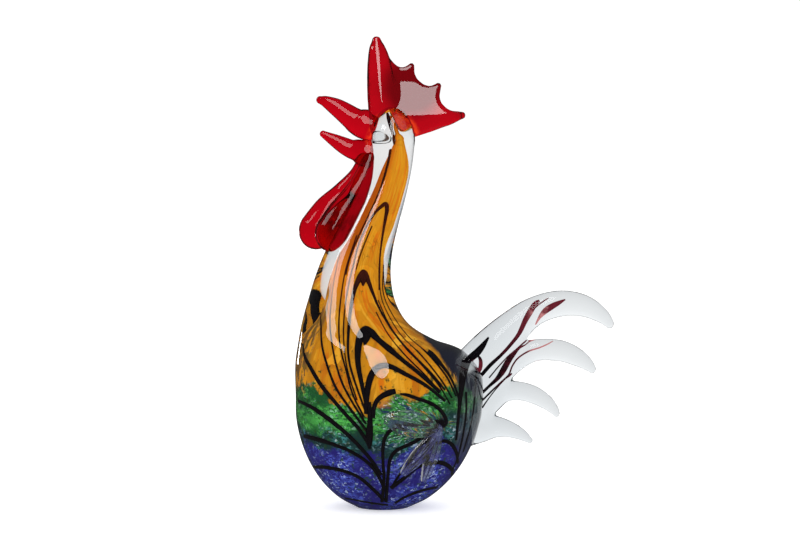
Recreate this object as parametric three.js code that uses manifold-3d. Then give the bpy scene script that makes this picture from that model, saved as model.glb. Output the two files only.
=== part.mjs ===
// A standing rooster in hot-worked solid glass. Millimetres, +Z up, and the bird looks along -X.
// The origin is the middle of the ground flat foot. The bird's left side is the -Y side.
// A clear heart carries thin amber, green and blue skins. A black trail is wound round them
// and combed, and a thick clear casing covers it all. Comb, beaks, wattles, eyes, wings and
// tail are hot bits that were stuck on the casing and pulled.
import * as THREE from "three";
import * as BufferGeometryUtils from "three/addons/utils/BufferGeometryUtils.js";
import Module from "manifold-3d";

// Clearance between two touching pieces, and round the heart, the trail and the threads
const SEAM = 0.3;
const HEART_PLAY = 0.5;
const TRAIL_PLAY = 0.9;
const THREAD_PLAY = 0.35;

// Body: a round belly on a ground flat foot
const FOOT_HALF_LENGTH = 16.3;
const FOOT_HALF_DEPTH = 15.5;
const FOOT_CASING = 4;
const BELLY_HEIGHT = 70;
const BELLY_HALF_LENGTH = 58;
const BELLY_HALF_DEPTH = 51;
const BELLY_SHIFT = 3.7;
const BELLY_CASING = 9;

// Shoulder rings: x of the middle, height over the belly's middle, how much shorter and
// narrower than the belly on each side, lean in degrees, and how thick the casing is there
const SHOULDER_RINGS = [
  { x: 2.8, above: 16, shorter: 1, narrower: 1, lean: 2, casing: 10.5 },
  { x: -1.8, above: 29.5, shorter: 7.5, narrower: 6, lean: 3, casing: 13 },
  { x: -8.7, above: 39, shorter: 16.5, narrower: 13, lean: 8.5, casing: 16 },
];

// Neck rings: x and z of the middle, half length along the bird and half depth across it
const NECK_RINGS = [
  { x: -15, z: 120.7, length: 32, depth: 31, lean: 14, casing: 15 },
  { x: -17.1, z: 134.2, length: 26, depth: 25.5, lean: 17, casing: 12.5 },
  { x: -16, z: 148.7, length: 21.8, depth: 21.5, lean: 17, casing: 10.5 },
  { x: -12.2, z: 162.9, length: 18.8, depth: 18.5, lean: 17, casing: 10 },
  { x: -6.5, z: 178, length: 16.4, depth: 16.4, lean: 16, casing: 8.2 },
  { x: -0.5, z: 193.6, length: 14.5, depth: 14.8, lean: 13, casing: 7 },
];
const JAW = { x: 4.3, z: 210, length: 13.3, depth: 14, lean: 6, casing: 7 };
const CHEEKS = { x: 6.3, z: 226, length: 13.4, depth: 13.6, lean: 0, casing: 8 };
const CROWN_HEIGHT = 21;
const CORE_DOME_HEIGHT = 9;
const HEART_DOME_HEIGHT = 5;

// Coloured skins on the heart, thinner where the neck is slim, and the wavy lines where
// one colour meets the next
const SKIN_THICKNESS = 2.6;
const SKIN_SHARE_LIMIT = 0.45;
const AMBER_FOOT_HEIGHT = 68;
const GREEN_FOOT_HEIGHT = 36;
const COLOUR_WAVE = 4;
const COLOUR_WAVES = 3;

// Black trail: one ribbon wound round the skins from near the foot up into the neck.
// Each comb stroke draws every turn down to a share of its height.
const TRAIL_WIDTH = 1.8;
const TRAIL_THICKNESS = 0.6;
const TRAIL_START_HEIGHT = 24;
const TRAIL_END_HEIGHT = 172;
const TRAIL_TURNS = 6.4;
const STROKE_DIRECTIONS = [36, 110, 184, 256, 330];
const STROKE_HALF_ANGLE = 17;
const STROKE_DRAG = 0.52;

// Red bits. A pulled bit's path is a list of [forward, up, half width], measured from
// the place on the bird that carries it.
const UPPER_BEAK = [
  [-1, 9, 9], [5, 10.5, 8.4], [12, 13.8, 7], [17.5, 17.8, 6.2],
  [22.5, 21, 5.3], [28.5, 24, 3.3], [32.5, 25.2, 1.7],
];
const LOWER_BEAK = [
  [-1, -9.5, 8.4], [6, -7.7, 7.2], [13, -5, 5.7], [18, -2.5, 5],
  [22.5, 0, 4.1], [28, 3, 2.6], [31, 5, 1.4],
];
const BEAK_DEPTH_SHARE = 0.8;
const LEFT_WATTLE = [
  [0.4, -12, 4.9], [4, -23, 6.8], [10, -34, 8.2], [17, -45, 10.2],
  [22.6, -55, 11.2], [25, -62.5, 8.4], [25.8, -68, 2.4],
];
const RIGHT_WATTLE = [
  [3.4, -12, 4.9], [8.4, -22.5, 6.2], [17.6, -33, 7.4], [26, -43, 9.9],
  [33, -54.5, 11.8], [35.4, -62, 9.2], [36.3, -68, 2.4],
];
const WATTLE_ROOT_SIDEWAYS = 5.5;
const WATTLE_SIDEWAYS = 11;
const WATTLE_DEPTH_SHARE = 0.68;

// Comb: four pulled points as [back, up, half width] from the crown, and the web that
// joins them
const COMB_POINTS = [
  [
    [-5, -12, 9.6], [-6.3, 2, 9.5], [-7.6, 15, 8.2], [-8.7, 27, 7],
    [-9.8, 35.5, 4.8], [-10, 40, 2.7], [-10, 41.8, 1.3],
  ],
  [[4, -12, 9], [6, 6, 9], [9, 17, 6], [11.3, 23, 2.9], [12.1, 26, 1.1]],
  [[10, -10, 8], [18, 2, 8], [24, 8, 4.8], [27.3, 12, 2.3], [28.5, 13.8, 1]],
  [[11, -12, 7], [24, -8, 7], [34, -7, 4.6], [40, -6, 2.6], [44, -5, 1.1]],
];
const COMB_WEB = [
  [-12, -14], [-14.5, 2], [-14.5, 18], [-5, 29], [-0.5, 25.8], [4.2, 23.4], [8.6, 24.6],
  [11.5, 23], [14.4, 17.5], [19, 12.9], [24, 11.8], [27.5, 8], [30.5, 3.5], [35, -2.2],
  [37, -7], [30, -13], [20, -15.8], [12, -17.3], [6, -22],
];
const COMB_DEPTH_SHARE = 0.72;
const COMB_WEB_HALF_THICKNESS = 5.4;

// Eyes: clear dots on the cheeks
const EYE_LENGTH = 11.7;
const EYE_HEIGHT = 7.7;
const EYE_STANDOUT = 1.8;
const EYE_FORWARD = 6.9;
const EYE_ABOVE_CHEEKS = 2.2;

// Wings: three lobes pulled from a hub on the flank, measured from the belly's middle
const WING_HUB = [31, -17];
const WING_LOBE_TIPS = [[-1.5, -9.5], [8.5, -44], [21, -49.5]];
const WING_HUB_HALF_WIDTH = 7;
const WING_TIP_HALF_WIDTH = 4.4;
const WING_LOBE_SWELL = 0.25;
const WING_STANDOUT = 3.4;

// Tail: four feathers as [back, up, half width] from the belly's rear, and the web that
// joins them at their roots
const FEATHERS = [
  [
    [-13, 6, 15.5], [3, 25.5, 13.2], [17.7, 40.3, 11], [31.3, 50.8, 9.1],
    [47.3, 55.7, 8.2], [62, 54.3, 6.7], [73, 48.3, 4.1], [80, 41.5, 1.6],
  ],
  [
    [-10.5, -3, 13], [5.4, 10.8, 10.4], [19, 21.2, 8.3], [32, 26.8, 7],
    [47.3, 26.6, 6.4], [58.4, 22.3, 5.1], [65.8, 17, 3.1], [69, 13.4, 1.3],
  ],
  [
    [-10.5, -13, 12], [3, -5.2, 8.6], [12.8, 0.8, 6.6], [22.7, 1.6, 6],
    [32, -1.1, 5.4], [39.9, -5.8, 4.2], [44.8, -11.2, 2.5], [46.2, -14.2, 1.2],
  ],
  [
    [-13, -22.5, 12], [-2, -22, 8.9], [7.3, -20.6, 7.1], [16.5, -22.2, 5.3],
    [23.9, -25.5, 3.6], [28.8, -28.8, 1.9], [30.4, -30.2, 1.1],
  ],
];
const FEATHER_DEPTH_SHARE = 0.78;
const FEATHER_DEPTH_LIMIT = 9.5;
const TAIL_WEB = [
  [-16, 20], [4, 34], [20, 42], [27.8, 37.3], [24, 25],
  [16.3, 12.2], [16, 1.5], [6.3, -10.6], [6, -20], [-14, -32],
];
const TAIL_WEB_HALF_THICKNESS = 6;
const WEB_ROUNDING = 1.6;

// Dark threads in the tail's glass as [back, up] from the belly's rear, and how far each
// lies to the bird's left
const THREAD_HALF_WIDTH = 1.1;
const THREADS = [
  { side: 3.2, route: [[-22, 4], [-12, 22], [-3, 31], [6, 36.5]] },
  { side: -2.6, route: [[-14, -2], [4, 20], [16.5, 33.5], [26, 45], [33, 55]] },
  { side: 2.6, route: [[-14, -8], [2, 11], [15, 27], [25, 39.8], [35, 49.5], [48, 57]] },
  { side: -2.6, route: [[-14, -14], [3, 6], [12, 16.5], [21, 25.4], [30, 28.6], [38, 29.5]] },
  { side: 2.8, route: [[-14, -20], [0, -4], [13.4, 10.8], [21, 20], [31, 25.3], [43, 28]] },
  { side: -2.8, route: [[-14, -20], [1, -6], [10.5, 4.2], [16, 9]] },
];

// Facets
const SIDES = 22;
const RING_COUNT = 20;
const TRAIL_STEP = 6.5;
const TRAIL_TURN_LIMIT = 26;

const RAD = Math.PI / 180;
const wasm = await Module();
wasm.setup();

// Closed triangle mesh over rows of points, each row bridged to the next.
// A row of one point is a pole.
function skinOf(rows) {
  const starts = [];
  let count = 0;
  for (const row of rows) {
    starts.push(count);
    count += row.length;
  }
  const faces = [];
  for (let i = 0; i + 1 < rows.length; i += 1) {
    const lower = rows[i].length;
    const upper = rows[i + 1].length;
    for (let k = 0; k < Math.max(lower, upper); k += 1) {
      const a = starts[i] + (k % lower);
      const b = starts[i] + ((k + 1) % lower);
      const c = starts[i + 1] + ((k + 1) % upper);
      const d = starts[i + 1] + (k % upper);
      if (lower > 1) faces.push(a, b, c);
      if (upper > 1) faces.push(a, c, d);
    }
  }
  const places = rows.flat().flatMap((point) => point.toArray());
  const geometry = new THREE.BufferGeometry();
  geometry.setAttribute("position", new THREE.Float32BufferAttribute(places, 3));
  geometry.setIndex(faces);
  return geometry;
}

function middleOf(row) {
  const middle = new THREE.Vector3();
  for (const point of row) middle.add(point);
  return middle.divideScalar(row.length);
}

// A solid over rows that ends in two flat caps
function cappedSkin(rows) {
  return skinOf([[middleOf(rows[0])], ...rows, [middleOf(rows[rows.length - 1])]]);
}

// A geometry as a solid that can be joined and cut, and back again
function solidOf(geometry) {
  const bare = geometry.clone();
  bare.deleteAttribute("normal");
  bare.deleteAttribute("uv");
  const merged = BufferGeometryUtils.mergeVertices(bare, 1e-4);
  const mesh = new wasm.Mesh({
    numProp: 3,
    vertProperties: new Float32Array(merged.attributes.position.array),
    triVerts: new Uint32Array(merged.index.array),
  });
  return new wasm.Manifold(mesh);
}

function geometryOf(solid) {
  const mesh = solid.getMesh();
  const geometry = new THREE.BufferGeometry();
  geometry.setAttribute("position", new THREE.BufferAttribute(new Float32Array(mesh.vertProperties), 3));
  geometry.setIndex(new THREE.BufferAttribute(new Uint32Array(mesh.triVerts), 1));
  return geometry;
}

// The lower belly follows an arc of an ellipse from the edge of the foot to the belly
function lowerBellyRings() {
  const edge = Math.asin(FOOT_HALF_LENGTH / BELLY_HALF_LENGTH);
  const arcHeight = BELLY_HEIGHT / Math.cos(edge);
  const steps = 6;
  return Array.from({ length: steps + 1 }, (_, i) => {
    const share = i / steps;
    const angle = edge + (Math.PI / 2 - edge) * share;
    const length = BELLY_HALF_LENGTH * Math.sin(angle);
    const spread = (length - FOOT_HALF_LENGTH) / (BELLY_HALF_LENGTH - FOOT_HALF_LENGTH);
    return {
      x: BELLY_SHIFT * share,
      z: BELLY_HEIGHT - arcHeight * Math.cos(angle),
      length,
      depth: FOOT_HALF_DEPTH + (BELLY_HALF_DEPTH - FOOT_HALF_DEPTH) * spread,
      lean: 0,
      casing: FOOT_CASING + (BELLY_CASING - FOOT_CASING) * Math.min(1, 2 * share),
    };
  });
}

function shoulderRings() {
  return SHOULDER_RINGS.map((ring) => ({
    x: ring.x,
    z: BELLY_HEIGHT + ring.above,
    length: BELLY_HALF_LENGTH - ring.shorter,
    depth: BELLY_HALF_DEPTH - ring.narrower,
    lean: ring.lean,
    casing: ring.casing,
  }));
}

const SECTIONS = [...lowerBellyRings(), ...shoulderRings(), ...NECK_RINGS, JAW, CHEEKS];
const LAST = SECTIONS.length - 1;
const middlePlaces = SECTIONS.map((s) => new THREE.Vector3(s.x, s.lean, s.z));
const middles = new THREE.CatmullRomCurve3(middlePlaces);
const widthRows = SECTIONS.map((s) => new THREE.Vector3(s.length, s.depth, s.casing));
const widths = new THREE.CatmullRomCurve3(widthRows);

// The body's section at a level: 0 is the foot and LAST the cheeks
function sectionAt(level) {
  const share = Math.min(1, Math.max(0, level / LAST));
  const middle = middles.getPoint(share);
  const width = widths.getPoint(share);
  return {
    x: middle.x, z: middle.z, lean: middle.y, length: width.x, depth: width.y, casing: width.z,
  };
}

// The level where a rising measure of the section reaches zero
function levelWhere(measure) {
  let low = 0;
  let high = LAST;
  while (high - low > 1e-6) {
    const level = (low + high) / 2;
    if (measure(sectionAt(level)) < 0) low = level;
    else high = level;
  }
  return low;
}

// A point on a section's ring, drawn in by an inset. Direction 0 is the tail side,
// 90 degrees the bird's right, 180 the breast and 270 the left.
function ringPoint(section, direction, inset) {
  const along = (section.length - inset) * Math.cos(direction);
  const across = (section.depth - inset) * Math.sin(direction);
  const lean = section.lean * RAD;
  return new THREE.Vector3(section.x + along * Math.cos(lean), across, section.z - along * Math.sin(lean));
}

// All skins have their corners in the same directions and rings, so they nest
const DIRECTIONS = Array.from({ length: SIDES }, (_, k) => (2 * Math.PI * k) / SIDES);
const RING_LEVELS = Array.from({ length: RING_COUNT + 1 }, (_, i) => (i * LAST) / RING_COUNT);
const CORE_TOP = RING_LEVELS[RING_COUNT - 1];
const HEART_TOP = RING_LEVELS[RING_COUNT - 5];

// A skin lies a wall's thickness in from the outside, and then some depth square to that
const TRAIL_ROOM = TRAIL_THICKNESS + 2 * TRAIL_PLAY;
const casingWall = (section) => section.casing;
const paint = (section) => {
  const coreHalf = section.length - section.casing - TRAIL_ROOM;
  return Math.min(SKIN_THICKNESS, SKIN_SHARE_LIMIT * coreHalf);
};
const OUTSIDE = { wall: () => 0, depth: () => 0 };
const SEAT = { wall: () => 0, depth: () => -SEAM };
const CAVITY = { wall: casingWall, depth: () => 0 };
const TRAIL_BED = { wall: casingWall, depth: () => TRAIL_ROOM / 2 };
const COLOUR = { wall: casingWall, depth: () => TRAIL_ROOM };
const COLOUR_INSIDE = { wall: casingWall, depth: (section) => TRAIL_ROOM + paint(section) };
const HEART = { wall: casingWall, depth: (section) => TRAIL_ROOM + paint(section) + HEART_PLAY };

// Outward direction of the surface that lies a skin's wall in from the outside
function outwardAt(level, direction, skin) {
  const step = 0.01;
  const at = (l, d) => {
    const section = sectionAt(l);
    return ringPoint(section, d, skin.wall(section));
  };
  const round = at(level, direction + step).sub(at(level, direction - step));
  const up = at(level + step, direction).sub(at(level - step, direction));
  return round.cross(up).normalize();
}

function skinPoint(level, direction, skin) {
  const section = sectionAt(level);
  const depth = skin.depth(section);
  if (level <= 0) return ringPoint(section, direction, skin.wall(section) + depth);
  const point = ringPoint(section, direction, skin.wall(section));
  return point.addScaledVector(outwardAt(level, direction, skin), -depth);
}

function ringAt(level, skin) {
  return DIRECTIONS.map((direction) => skinPoint(level, direction, skin));
}

// Rings of a skin from one level to another
function ringsBetween(low, high, skin) {
  const levels = RING_LEVELS.filter((level) => level > low + 1e-6 && level < high - 1e-6);
  return [low, ...levels, high].map((level) => ringAt(level, skin));
}

// A rounded top over the ring at a level
function domeOver(level, skin, height) {
  const section = sectionAt(level);
  const inset = skin.wall(section) + skin.depth(section);
  const steps = 4;
  const rows = [];
  for (let i = 1; i < steps; i += 1) {
    const lift = (i / steps) * 90 * RAD;
    const ring = {
      ...section,
      z: section.z + height * Math.sin(lift),
      length: (section.length - inset) * Math.cos(lift),
      depth: (section.depth - inset) * Math.cos(lift),
    };
    rows.push(DIRECTIONS.map((direction) => ringPoint(ring, direction, 0)));
  }
  rows.push([new THREE.Vector3(section.x, 0, section.z + height)]);
  return rows;
}

// A skin from the foot to its rounded top
function wholeSkin(top, skin, domeHeight) {
  return [...ringsBetween(0, top, skin), ...domeOver(top, skin, domeHeight)];
}

// The casing's outside with the seam added: every bit that sits on the bird is cut by it
function seatSolid() {
  const rows = wholeSkin(LAST, SEAT, CROWN_HEIGHT + SEAM);
  const belowFoot = rows[0].map((point) => new THREE.Vector3(point.x, point.y, -SEAM));
  return solidOf(skinOf([[middleOf(belowFoot)], belowFoot, ...rows]));
}
const seat = seatSolid();

// Clear casing: up the outside, over the crown, and down the cavity to the foot
function casing() {
  const inner = wholeSkin(CORE_TOP, CAVITY, CORE_DOME_HEIGHT);
  return skinOf([...inner.reverse(), ...wholeSkin(LAST, OUTSIDE, CROWN_HEIGHT)]);
}

// All the colour as one shell: open at the foot and closed over the top of the heart
function colourShell() {
  const inner = wholeSkin(HEART_TOP, COLOUR_INSIDE, HEART_DOME_HEIGHT + 2 * HEART_PLAY);
  const outer = wholeSkin(CORE_TOP, COLOUR, CORE_DOME_HEIGHT - TRAIL_ROOM);
  return solidOf(skinOf([...inner.reverse(), ...outer]));
}

// Everything between two wavy lines round the body, less half a seam at each
function zoneBetween(lowLine, highLine) {
  const reach = 2 * BELLY_HALF_LENGTH;
  const bound = (line, lift) => DIRECTIONS.map((direction) => new THREE.Vector3(
    BELLY_SHIFT + reach * Math.cos(direction),
    reach * Math.sin(direction),
    line + lift + COLOUR_WAVE * Math.sin(COLOUR_WAVES * direction + line),
  ));
  return solidOf(cappedSkin([bound(lowLine, SEAM / 2), bound(highLine, -SEAM / 2)]));
}

function heartGather() {
  const rows = wholeSkin(HEART_TOP, HEART, HEART_DOME_HEIGHT);
  return skinOf([[middleOf(rows[0])], ...rows]);
}

// A point of a faceted skin between its corners, at a direction and a level
function pointOnSkin(direction, level, rings) {
  const turn = ((direction / (2 * Math.PI)) % 1 + 1) % 1;
  const side = Math.floor(turn * SIDES);
  const sideShare = turn * SIDES - side;
  const ring = Math.min(RING_COUNT - 1, Math.floor((level / LAST) * RING_COUNT));
  const ringShare = (level / LAST) * RING_COUNT - ring;
  const corner = (ringIndex, sideIndex) => rings[ringIndex][sideIndex % SIDES];
  const start = corner(ring, side);
  const far = corner(ring + 1, side + 1);
  const lowerHalf = sideShare >= ringShare;
  const turnCorner = lowerHalf ? corner(ring, side + 1) : corner(ring + 1, side);
  const [first, second] = lowerHalf ? [sideShare, ringShare] : [ringShare, sideShare];
  return start.clone()
    .addScaledVector(turnCorner.clone().sub(start), first)
    .addScaledVector(far.clone().sub(turnCorner), second);
}

// What share of its height a turn of the trail loses in a direction round the body
function combing(direction) {
  let pull = 0;
  for (const stroke of STROKE_DIRECTIONS) {
    const off = (((direction / RAD - stroke) % 360) + 540) % 360 - 180;
    pull += 1 / (1 + (off / STROKE_HALF_ANGLE) ** 2);
  }
  return STROKE_DRAG * Math.min(1, pull);
}

// The trail's middle line as points and outward directions, sampled by length and bend
function trailRoute() {
  const bed = RING_LEVELS.map((level) => ringAt(level, TRAIL_BED));
  const roof = RING_LEVELS.map((level) => ringAt(level, CAVITY));
  const samplesPerTurn = 360;
  const total = TRAIL_TURNS * samplesPerTurn;
  const stations = [];
  for (let i = 0; i <= total; i += 1) {
    const direction = (2 * Math.PI * i) / samplesPerTurn;
    const wound = TRAIL_START_HEIGHT + (TRAIL_END_HEIGHT - TRAIL_START_HEIGHT) * (i / total);
    const height = wound * (1 - combing(direction));
    const level = levelWhere((section) => section.z - height);
    const place = pointOnSkin(direction, level, bed);
    const out = pointOnSkin(direction, level, roof).sub(place).normalize();
    stations.push({ place, out });
  }
  const kept = [stations[0]];
  let travelled = 0;
  let bend = 0;
  for (let i = 1; i < total; i += 1) {
    const before = stations[i].place.clone().sub(stations[i - 1].place);
    const after = stations[i + 1].place.clone().sub(stations[i].place);
    travelled += before.length();
    bend += before.angleTo(after) / RAD;
    if (travelled > TRAIL_STEP || bend > TRAIL_TURN_LIMIT) {
      kept.push(stations[i]);
      travelled = 0;
      bend = 0;
    }
  }
  kept.push(stations[total]);
  return kept;
}

// Ribbon with a ridged back along the trail's route
function combedTrail() {
  const route = trailRoute();
  const rows = route.map((station, i) => {
    const ahead = route[Math.min(route.length - 1, i + 1)].place;
    const behind = route[Math.max(0, i - 1)].place;
    const along = ahead.clone().sub(behind).normalize();
    const side = station.out.clone().cross(along).normalize();
    const out = along.clone().cross(side);
    const at = (across, up) => {
      return station.place.clone().addScaledVector(side, across).addScaledVector(out, up);
    };
    return [
      at(TRAIL_WIDTH / 2, -TRAIL_THICKNESS / 2),
      at(0, TRAIL_THICKNESS / 2),
      at(-TRAIL_WIDTH / 2, -TRAIL_THICKNESS / 2),
    ];
  });
  return cappedSkin(rows);
}

// A pulled bit: an oval rod that swells and tapers along a curve in the bird's upright
// plane. Stations give place and half width, and the ends are rounded off to poles that
// stand out by a share of the half width.
const END_ROUNDING = 0.8;
function pulledRod(stations, depthOf, sides, steps, grow = 0) {
  const path = new THREE.CatmullRomCurve3(stations.map((s) => s.place));
  const halves = stations.map((s) => new THREE.Vector3(s.half, 0, 0));
  const girth = new THREE.CatmullRomCurve3(halves);
  const sideways = new THREE.Vector3(0, 1, 0);
  const rows = [];
  for (let i = 0; i <= steps; i += 1) {
    const share = i / steps;
    const along = path.getTangent(share);
    const edge = sideways.clone().cross(along).normalize();
    const across = along.clone().cross(edge);
    const half = girth.getPoint(share).x;
    const middle = path.getPoint(share);
    const row = [];
    for (let k = 0; k < sides; k += 1) {
      const angle = (2 * Math.PI * k) / sides;
      row.push(middle.clone()
        .addScaledVector(edge, (half + grow) * Math.cos(angle))
        .addScaledVector(across, (depthOf(half) + grow) * Math.sin(angle)));
    }
    rows.push(row);
  }
  const endOf = (share, sign) => {
    const standout = END_ROUNDING * girth.getPoint(share).x + grow;
    return [path.getPoint(share).addScaledVector(path.getTangent(share), sign * standout)];
  };
  return skinOf([endOf(0, -1), ...rows, endOf(1, 1)]);
}

// Stations from [across, up, half width] rows measured from a place
function stationsFrom(rows, origin, sign, sidewaysAt = () => 0) {
  return rows.map(([across, up, half], i) => ({
    place: new THREE.Vector3(origin.x + sign * across, sidewaysAt(i), origin.z + up),
    half,
  }));
}

// A flat web of glass with rounded edges in the bird's upright plane
function web(corners, origin, halfThickness, grow = 0) {
  const places = corners.map(([x, z]) => new THREE.Vector2(origin.x + x, origin.z + z));
  const geometry = new THREE.ExtrudeGeometry(new THREE.Shape(places), {
    depth: 2 * (halfThickness + grow - WEB_ROUNDING),
    steps: 1,
    bevelEnabled: true,
    bevelSegments: 2,
    bevelSize: WEB_ROUNDING,
    bevelThickness: WEB_ROUNDING,
    bevelOffset: grow - WEB_ROUNDING,
  });
  geometry.rotateX(Math.PI / 2);
  geometry.translate(0, halfThickness + grow - WEB_ROUNDING, 0);
  return solidOf(geometry);
}

// Places that carry the bits
const FACE = { x: CHEEKS.x - CHEEKS.length, z: CHEEKS.z };
const CROWN = { x: CHEEKS.x, z: CHEEKS.z + CROWN_HEIGHT };
const REAR = { x: BELLY_SHIFT + BELLY_HALF_LENGTH, z: BELLY_HEIGHT };

function beak(rows, grow) {
  const depthOf = (half) => BEAK_DEPTH_SHARE * half;
  return solidOf(pulledRod(stationsFrom(rows, FACE, -1), depthOf, 10, 9, grow));
}

function wattle(rows, side) {
  const sidewaysAt = (i) => side * (WATTLE_ROOT_SIDEWAYS
    + (WATTLE_SIDEWAYS - WATTLE_ROOT_SIDEWAYS) * Math.min(1, i / 2));
  const stations = stationsFrom(rows, FACE, -1, sidewaysAt);
  return solidOf(pulledRod(stations, (half) => WATTLE_DEPTH_SHARE * half, 12, 11));
}

// Comb: four pulled points on one web
function comb(grow) {
  const depthOf = (half) => COMB_DEPTH_SHARE * half;
  let glass = web(COMB_WEB, CROWN, COMB_WEB_HALF_THICKNESS, grow);
  for (const rows of COMB_POINTS) {
    glass = glass.add(solidOf(pulledRod(stationsFrom(rows, CROWN, 1), depthOf, 10, 6, grow)));
  }
  return glass;
}

// A point of the casing's side at a place seen from the side
function flankPoint(x, z, side) {
  const level = levelWhere(({ x: middle, z: height, lean }) => {
    return (height - z) * Math.cos(lean * RAD) - (x - middle) * Math.sin(lean * RAD);
  });
  const section = sectionAt(level);
  const lean = section.lean * RAD;
  const along = (x - section.x) * Math.cos(lean) - (z - section.z) * Math.sin(lean);
  const share = Math.min(1, Math.abs(along) / section.length);
  return new THREE.Vector3(x, side * section.depth * Math.sqrt(1 - share * share), z);
}

function eye(side) {
  const dot = new THREE.SphereGeometry(1, 12, 8);
  dot.scale(EYE_LENGTH / 2, EYE_STANDOUT, EYE_HEIGHT / 2);
  const place = flankPoint(CHEEKS.x - EYE_FORWARD, CHEEKS.z + EYE_ABOVE_CHEEKS, side);
  dot.translate(place.x, place.y, place.z);
  return solidOf(dot);
}

// Wing: lobes that run over the flank from the hub to their tips
function wing(side) {
  const between = (start, end, share) => start + (end - start) * share;
  const lobes = WING_LOBE_TIPS.map((tip) => {
    const stations = [0, 0.35, 0.7, 1].map((share) => {
      const x = BELLY_SHIFT + between(WING_HUB[0], tip[0], share);
      const z = BELLY_HEIGHT + between(WING_HUB[1], tip[1], share);
      const swell = 1 + WING_LOBE_SWELL * Math.sin(Math.PI * share);
      const half = between(WING_HUB_HALF_WIDTH, WING_TIP_HALF_WIDTH, share) * swell;
      return { place: flankPoint(x, z, side), half };
    });
    return solidOf(pulledRod(stations, () => WING_STANDOUT, 8, 6));
  });
  return lobes.reduce((joined, lobe) => joined.add(lobe));
}

function thread({ side, route }, half) {
  const stations = stationsFrom(route.map(([back, up]) => [back, up, half]), REAR, 1, () => -side);
  return solidOf(pulledRod(stations, (wide) => wide, 6, 9));
}

// Tail: four feathers on one web, with a channel round each thread that opens at the root
function tail() {
  const depthOf = (half) => Math.min(FEATHER_DEPTH_LIMIT, FEATHER_DEPTH_SHARE * half);
  let glass = web(TAIL_WEB, REAR, TAIL_WEB_HALF_THICKNESS);
  for (const rows of FEATHERS) {
    glass = glass.add(solidOf(pulledRod(stationsFrom(rows, REAR, 1), depthOf, 10, 11)));
  }
  glass = glass.subtract(seat);
  for (const line of THREADS) {
    glass = glass.subtract(thread(line, THREAD_HALF_WIDTH + THREAD_PLAY));
  }
  return glass;
}

const CLEAR = { color: 0xdfe8ea, roughness: 0.03, metalness: 0, transparent: true, opacity: 0.35 };
const RED = { color: 0xc00818, roughness: 0.04, metalness: 0 };
const AMBER = { color: 0xd8901c, roughness: 0.3, metalness: 0 };
const GREEN = { color: 0x2f8a38, roughness: 0.3, metalness: 0 };
const BLUE = { color: 0x2c2f9c, roughness: 0.3, metalness: 0 };
const BLACK = { color: 0x140f12, roughness: 0.2, metalness: 0 };
const DARK_PURPLE = { color: 0x4a1420, roughness: 0.2, metalness: 0 };

const rooster = new THREE.Group();

function place(name, shape, look) {
  const geometry = shape.isBufferGeometry ? shape : geometryOf(shape);
  const mesh = new THREE.Mesh(geometry, new THREE.MeshStandardMaterial(look));
  mesh.name = name;
  rooster.add(mesh);
}

const colours = colourShell();
const belowAll = -2 * COLOUR_WAVE;
const aboveAll = CROWN.z;
place("heart_gather", heartGather(), CLEAR);
place("blue_layer", colours.intersect(zoneBetween(belowAll, GREEN_FOOT_HEIGHT)), BLUE);
place("green_layer", colours.intersect(zoneBetween(GREEN_FOOT_HEIGHT, AMBER_FOOT_HEIGHT)), GREEN);
place("amber_layer", colours.intersect(zoneBetween(AMBER_FOOT_HEIGHT, aboveAll)), AMBER);
place("combed_trail", combedTrail(), BLACK);
place("clear_casing", casing(), CLEAR);

const upperBeak = beak(UPPER_BEAK, 0).subtract(seat).subtract(comb(SEAM));
const lowerBeak = beak(LOWER_BEAK, 0).subtract(seat).subtract(beak(UPPER_BEAK, SEAM));
const underBeak = beak(LOWER_BEAK, SEAM);
place("comb", comb(0).subtract(seat), RED);
place("upper_beak", upperBeak, RED);
place("lower_beak", lowerBeak, RED);
place("left_wattle", wattle(LEFT_WATTLE, -1).subtract(seat).subtract(underBeak), RED);
place("right_wattle", wattle(RIGHT_WATTLE, 1).subtract(seat).subtract(underBeak), RED);

for (const [name, side] of [["left", -1], ["right", 1]]) {
  place(`${name}_eye`, eye(side).subtract(seat), CLEAR);
  place(`${name}_wing`, wing(side).subtract(seat), CLEAR);
}

place("tail", tail(), CLEAR);
THREADS.forEach((line, i) => {
  place(`tail_thread_${i + 1}`, thread(line, THREAD_HALF_WIDTH).subtract(seat), DARK_PURPLE);
});

export default rooster;
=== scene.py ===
"""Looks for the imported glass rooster: smooth hot-worked glass in place of the faceted solids.

Lengths are in millimetres until a piece is made, and Blender works in metres. The bird
looks along -X, its tail is at +X, and the camera stands on the -Y side, its left.
"""

import math

import bpy
import numpy as np
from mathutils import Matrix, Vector
from mathutils.bvhtree import BVHTree
from mathutils.interpolate import poly_3d_calc


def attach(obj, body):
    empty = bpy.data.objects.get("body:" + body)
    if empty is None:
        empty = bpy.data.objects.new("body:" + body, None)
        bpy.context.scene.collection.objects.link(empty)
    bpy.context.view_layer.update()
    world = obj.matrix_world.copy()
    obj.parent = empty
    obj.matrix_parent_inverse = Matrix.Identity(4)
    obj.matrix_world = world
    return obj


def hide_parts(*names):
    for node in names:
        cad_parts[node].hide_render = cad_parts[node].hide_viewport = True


bl_info = {
    "name": "Glass rooster",
    "version": (1, 0, 0),
    "blender": (4, 5, 0),
    "location": "3D View > Sidebar > Rooster",
    "description": "Dresses the packed rooster in clear, coloured and combed glass",
    "category": "Object",
}

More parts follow.
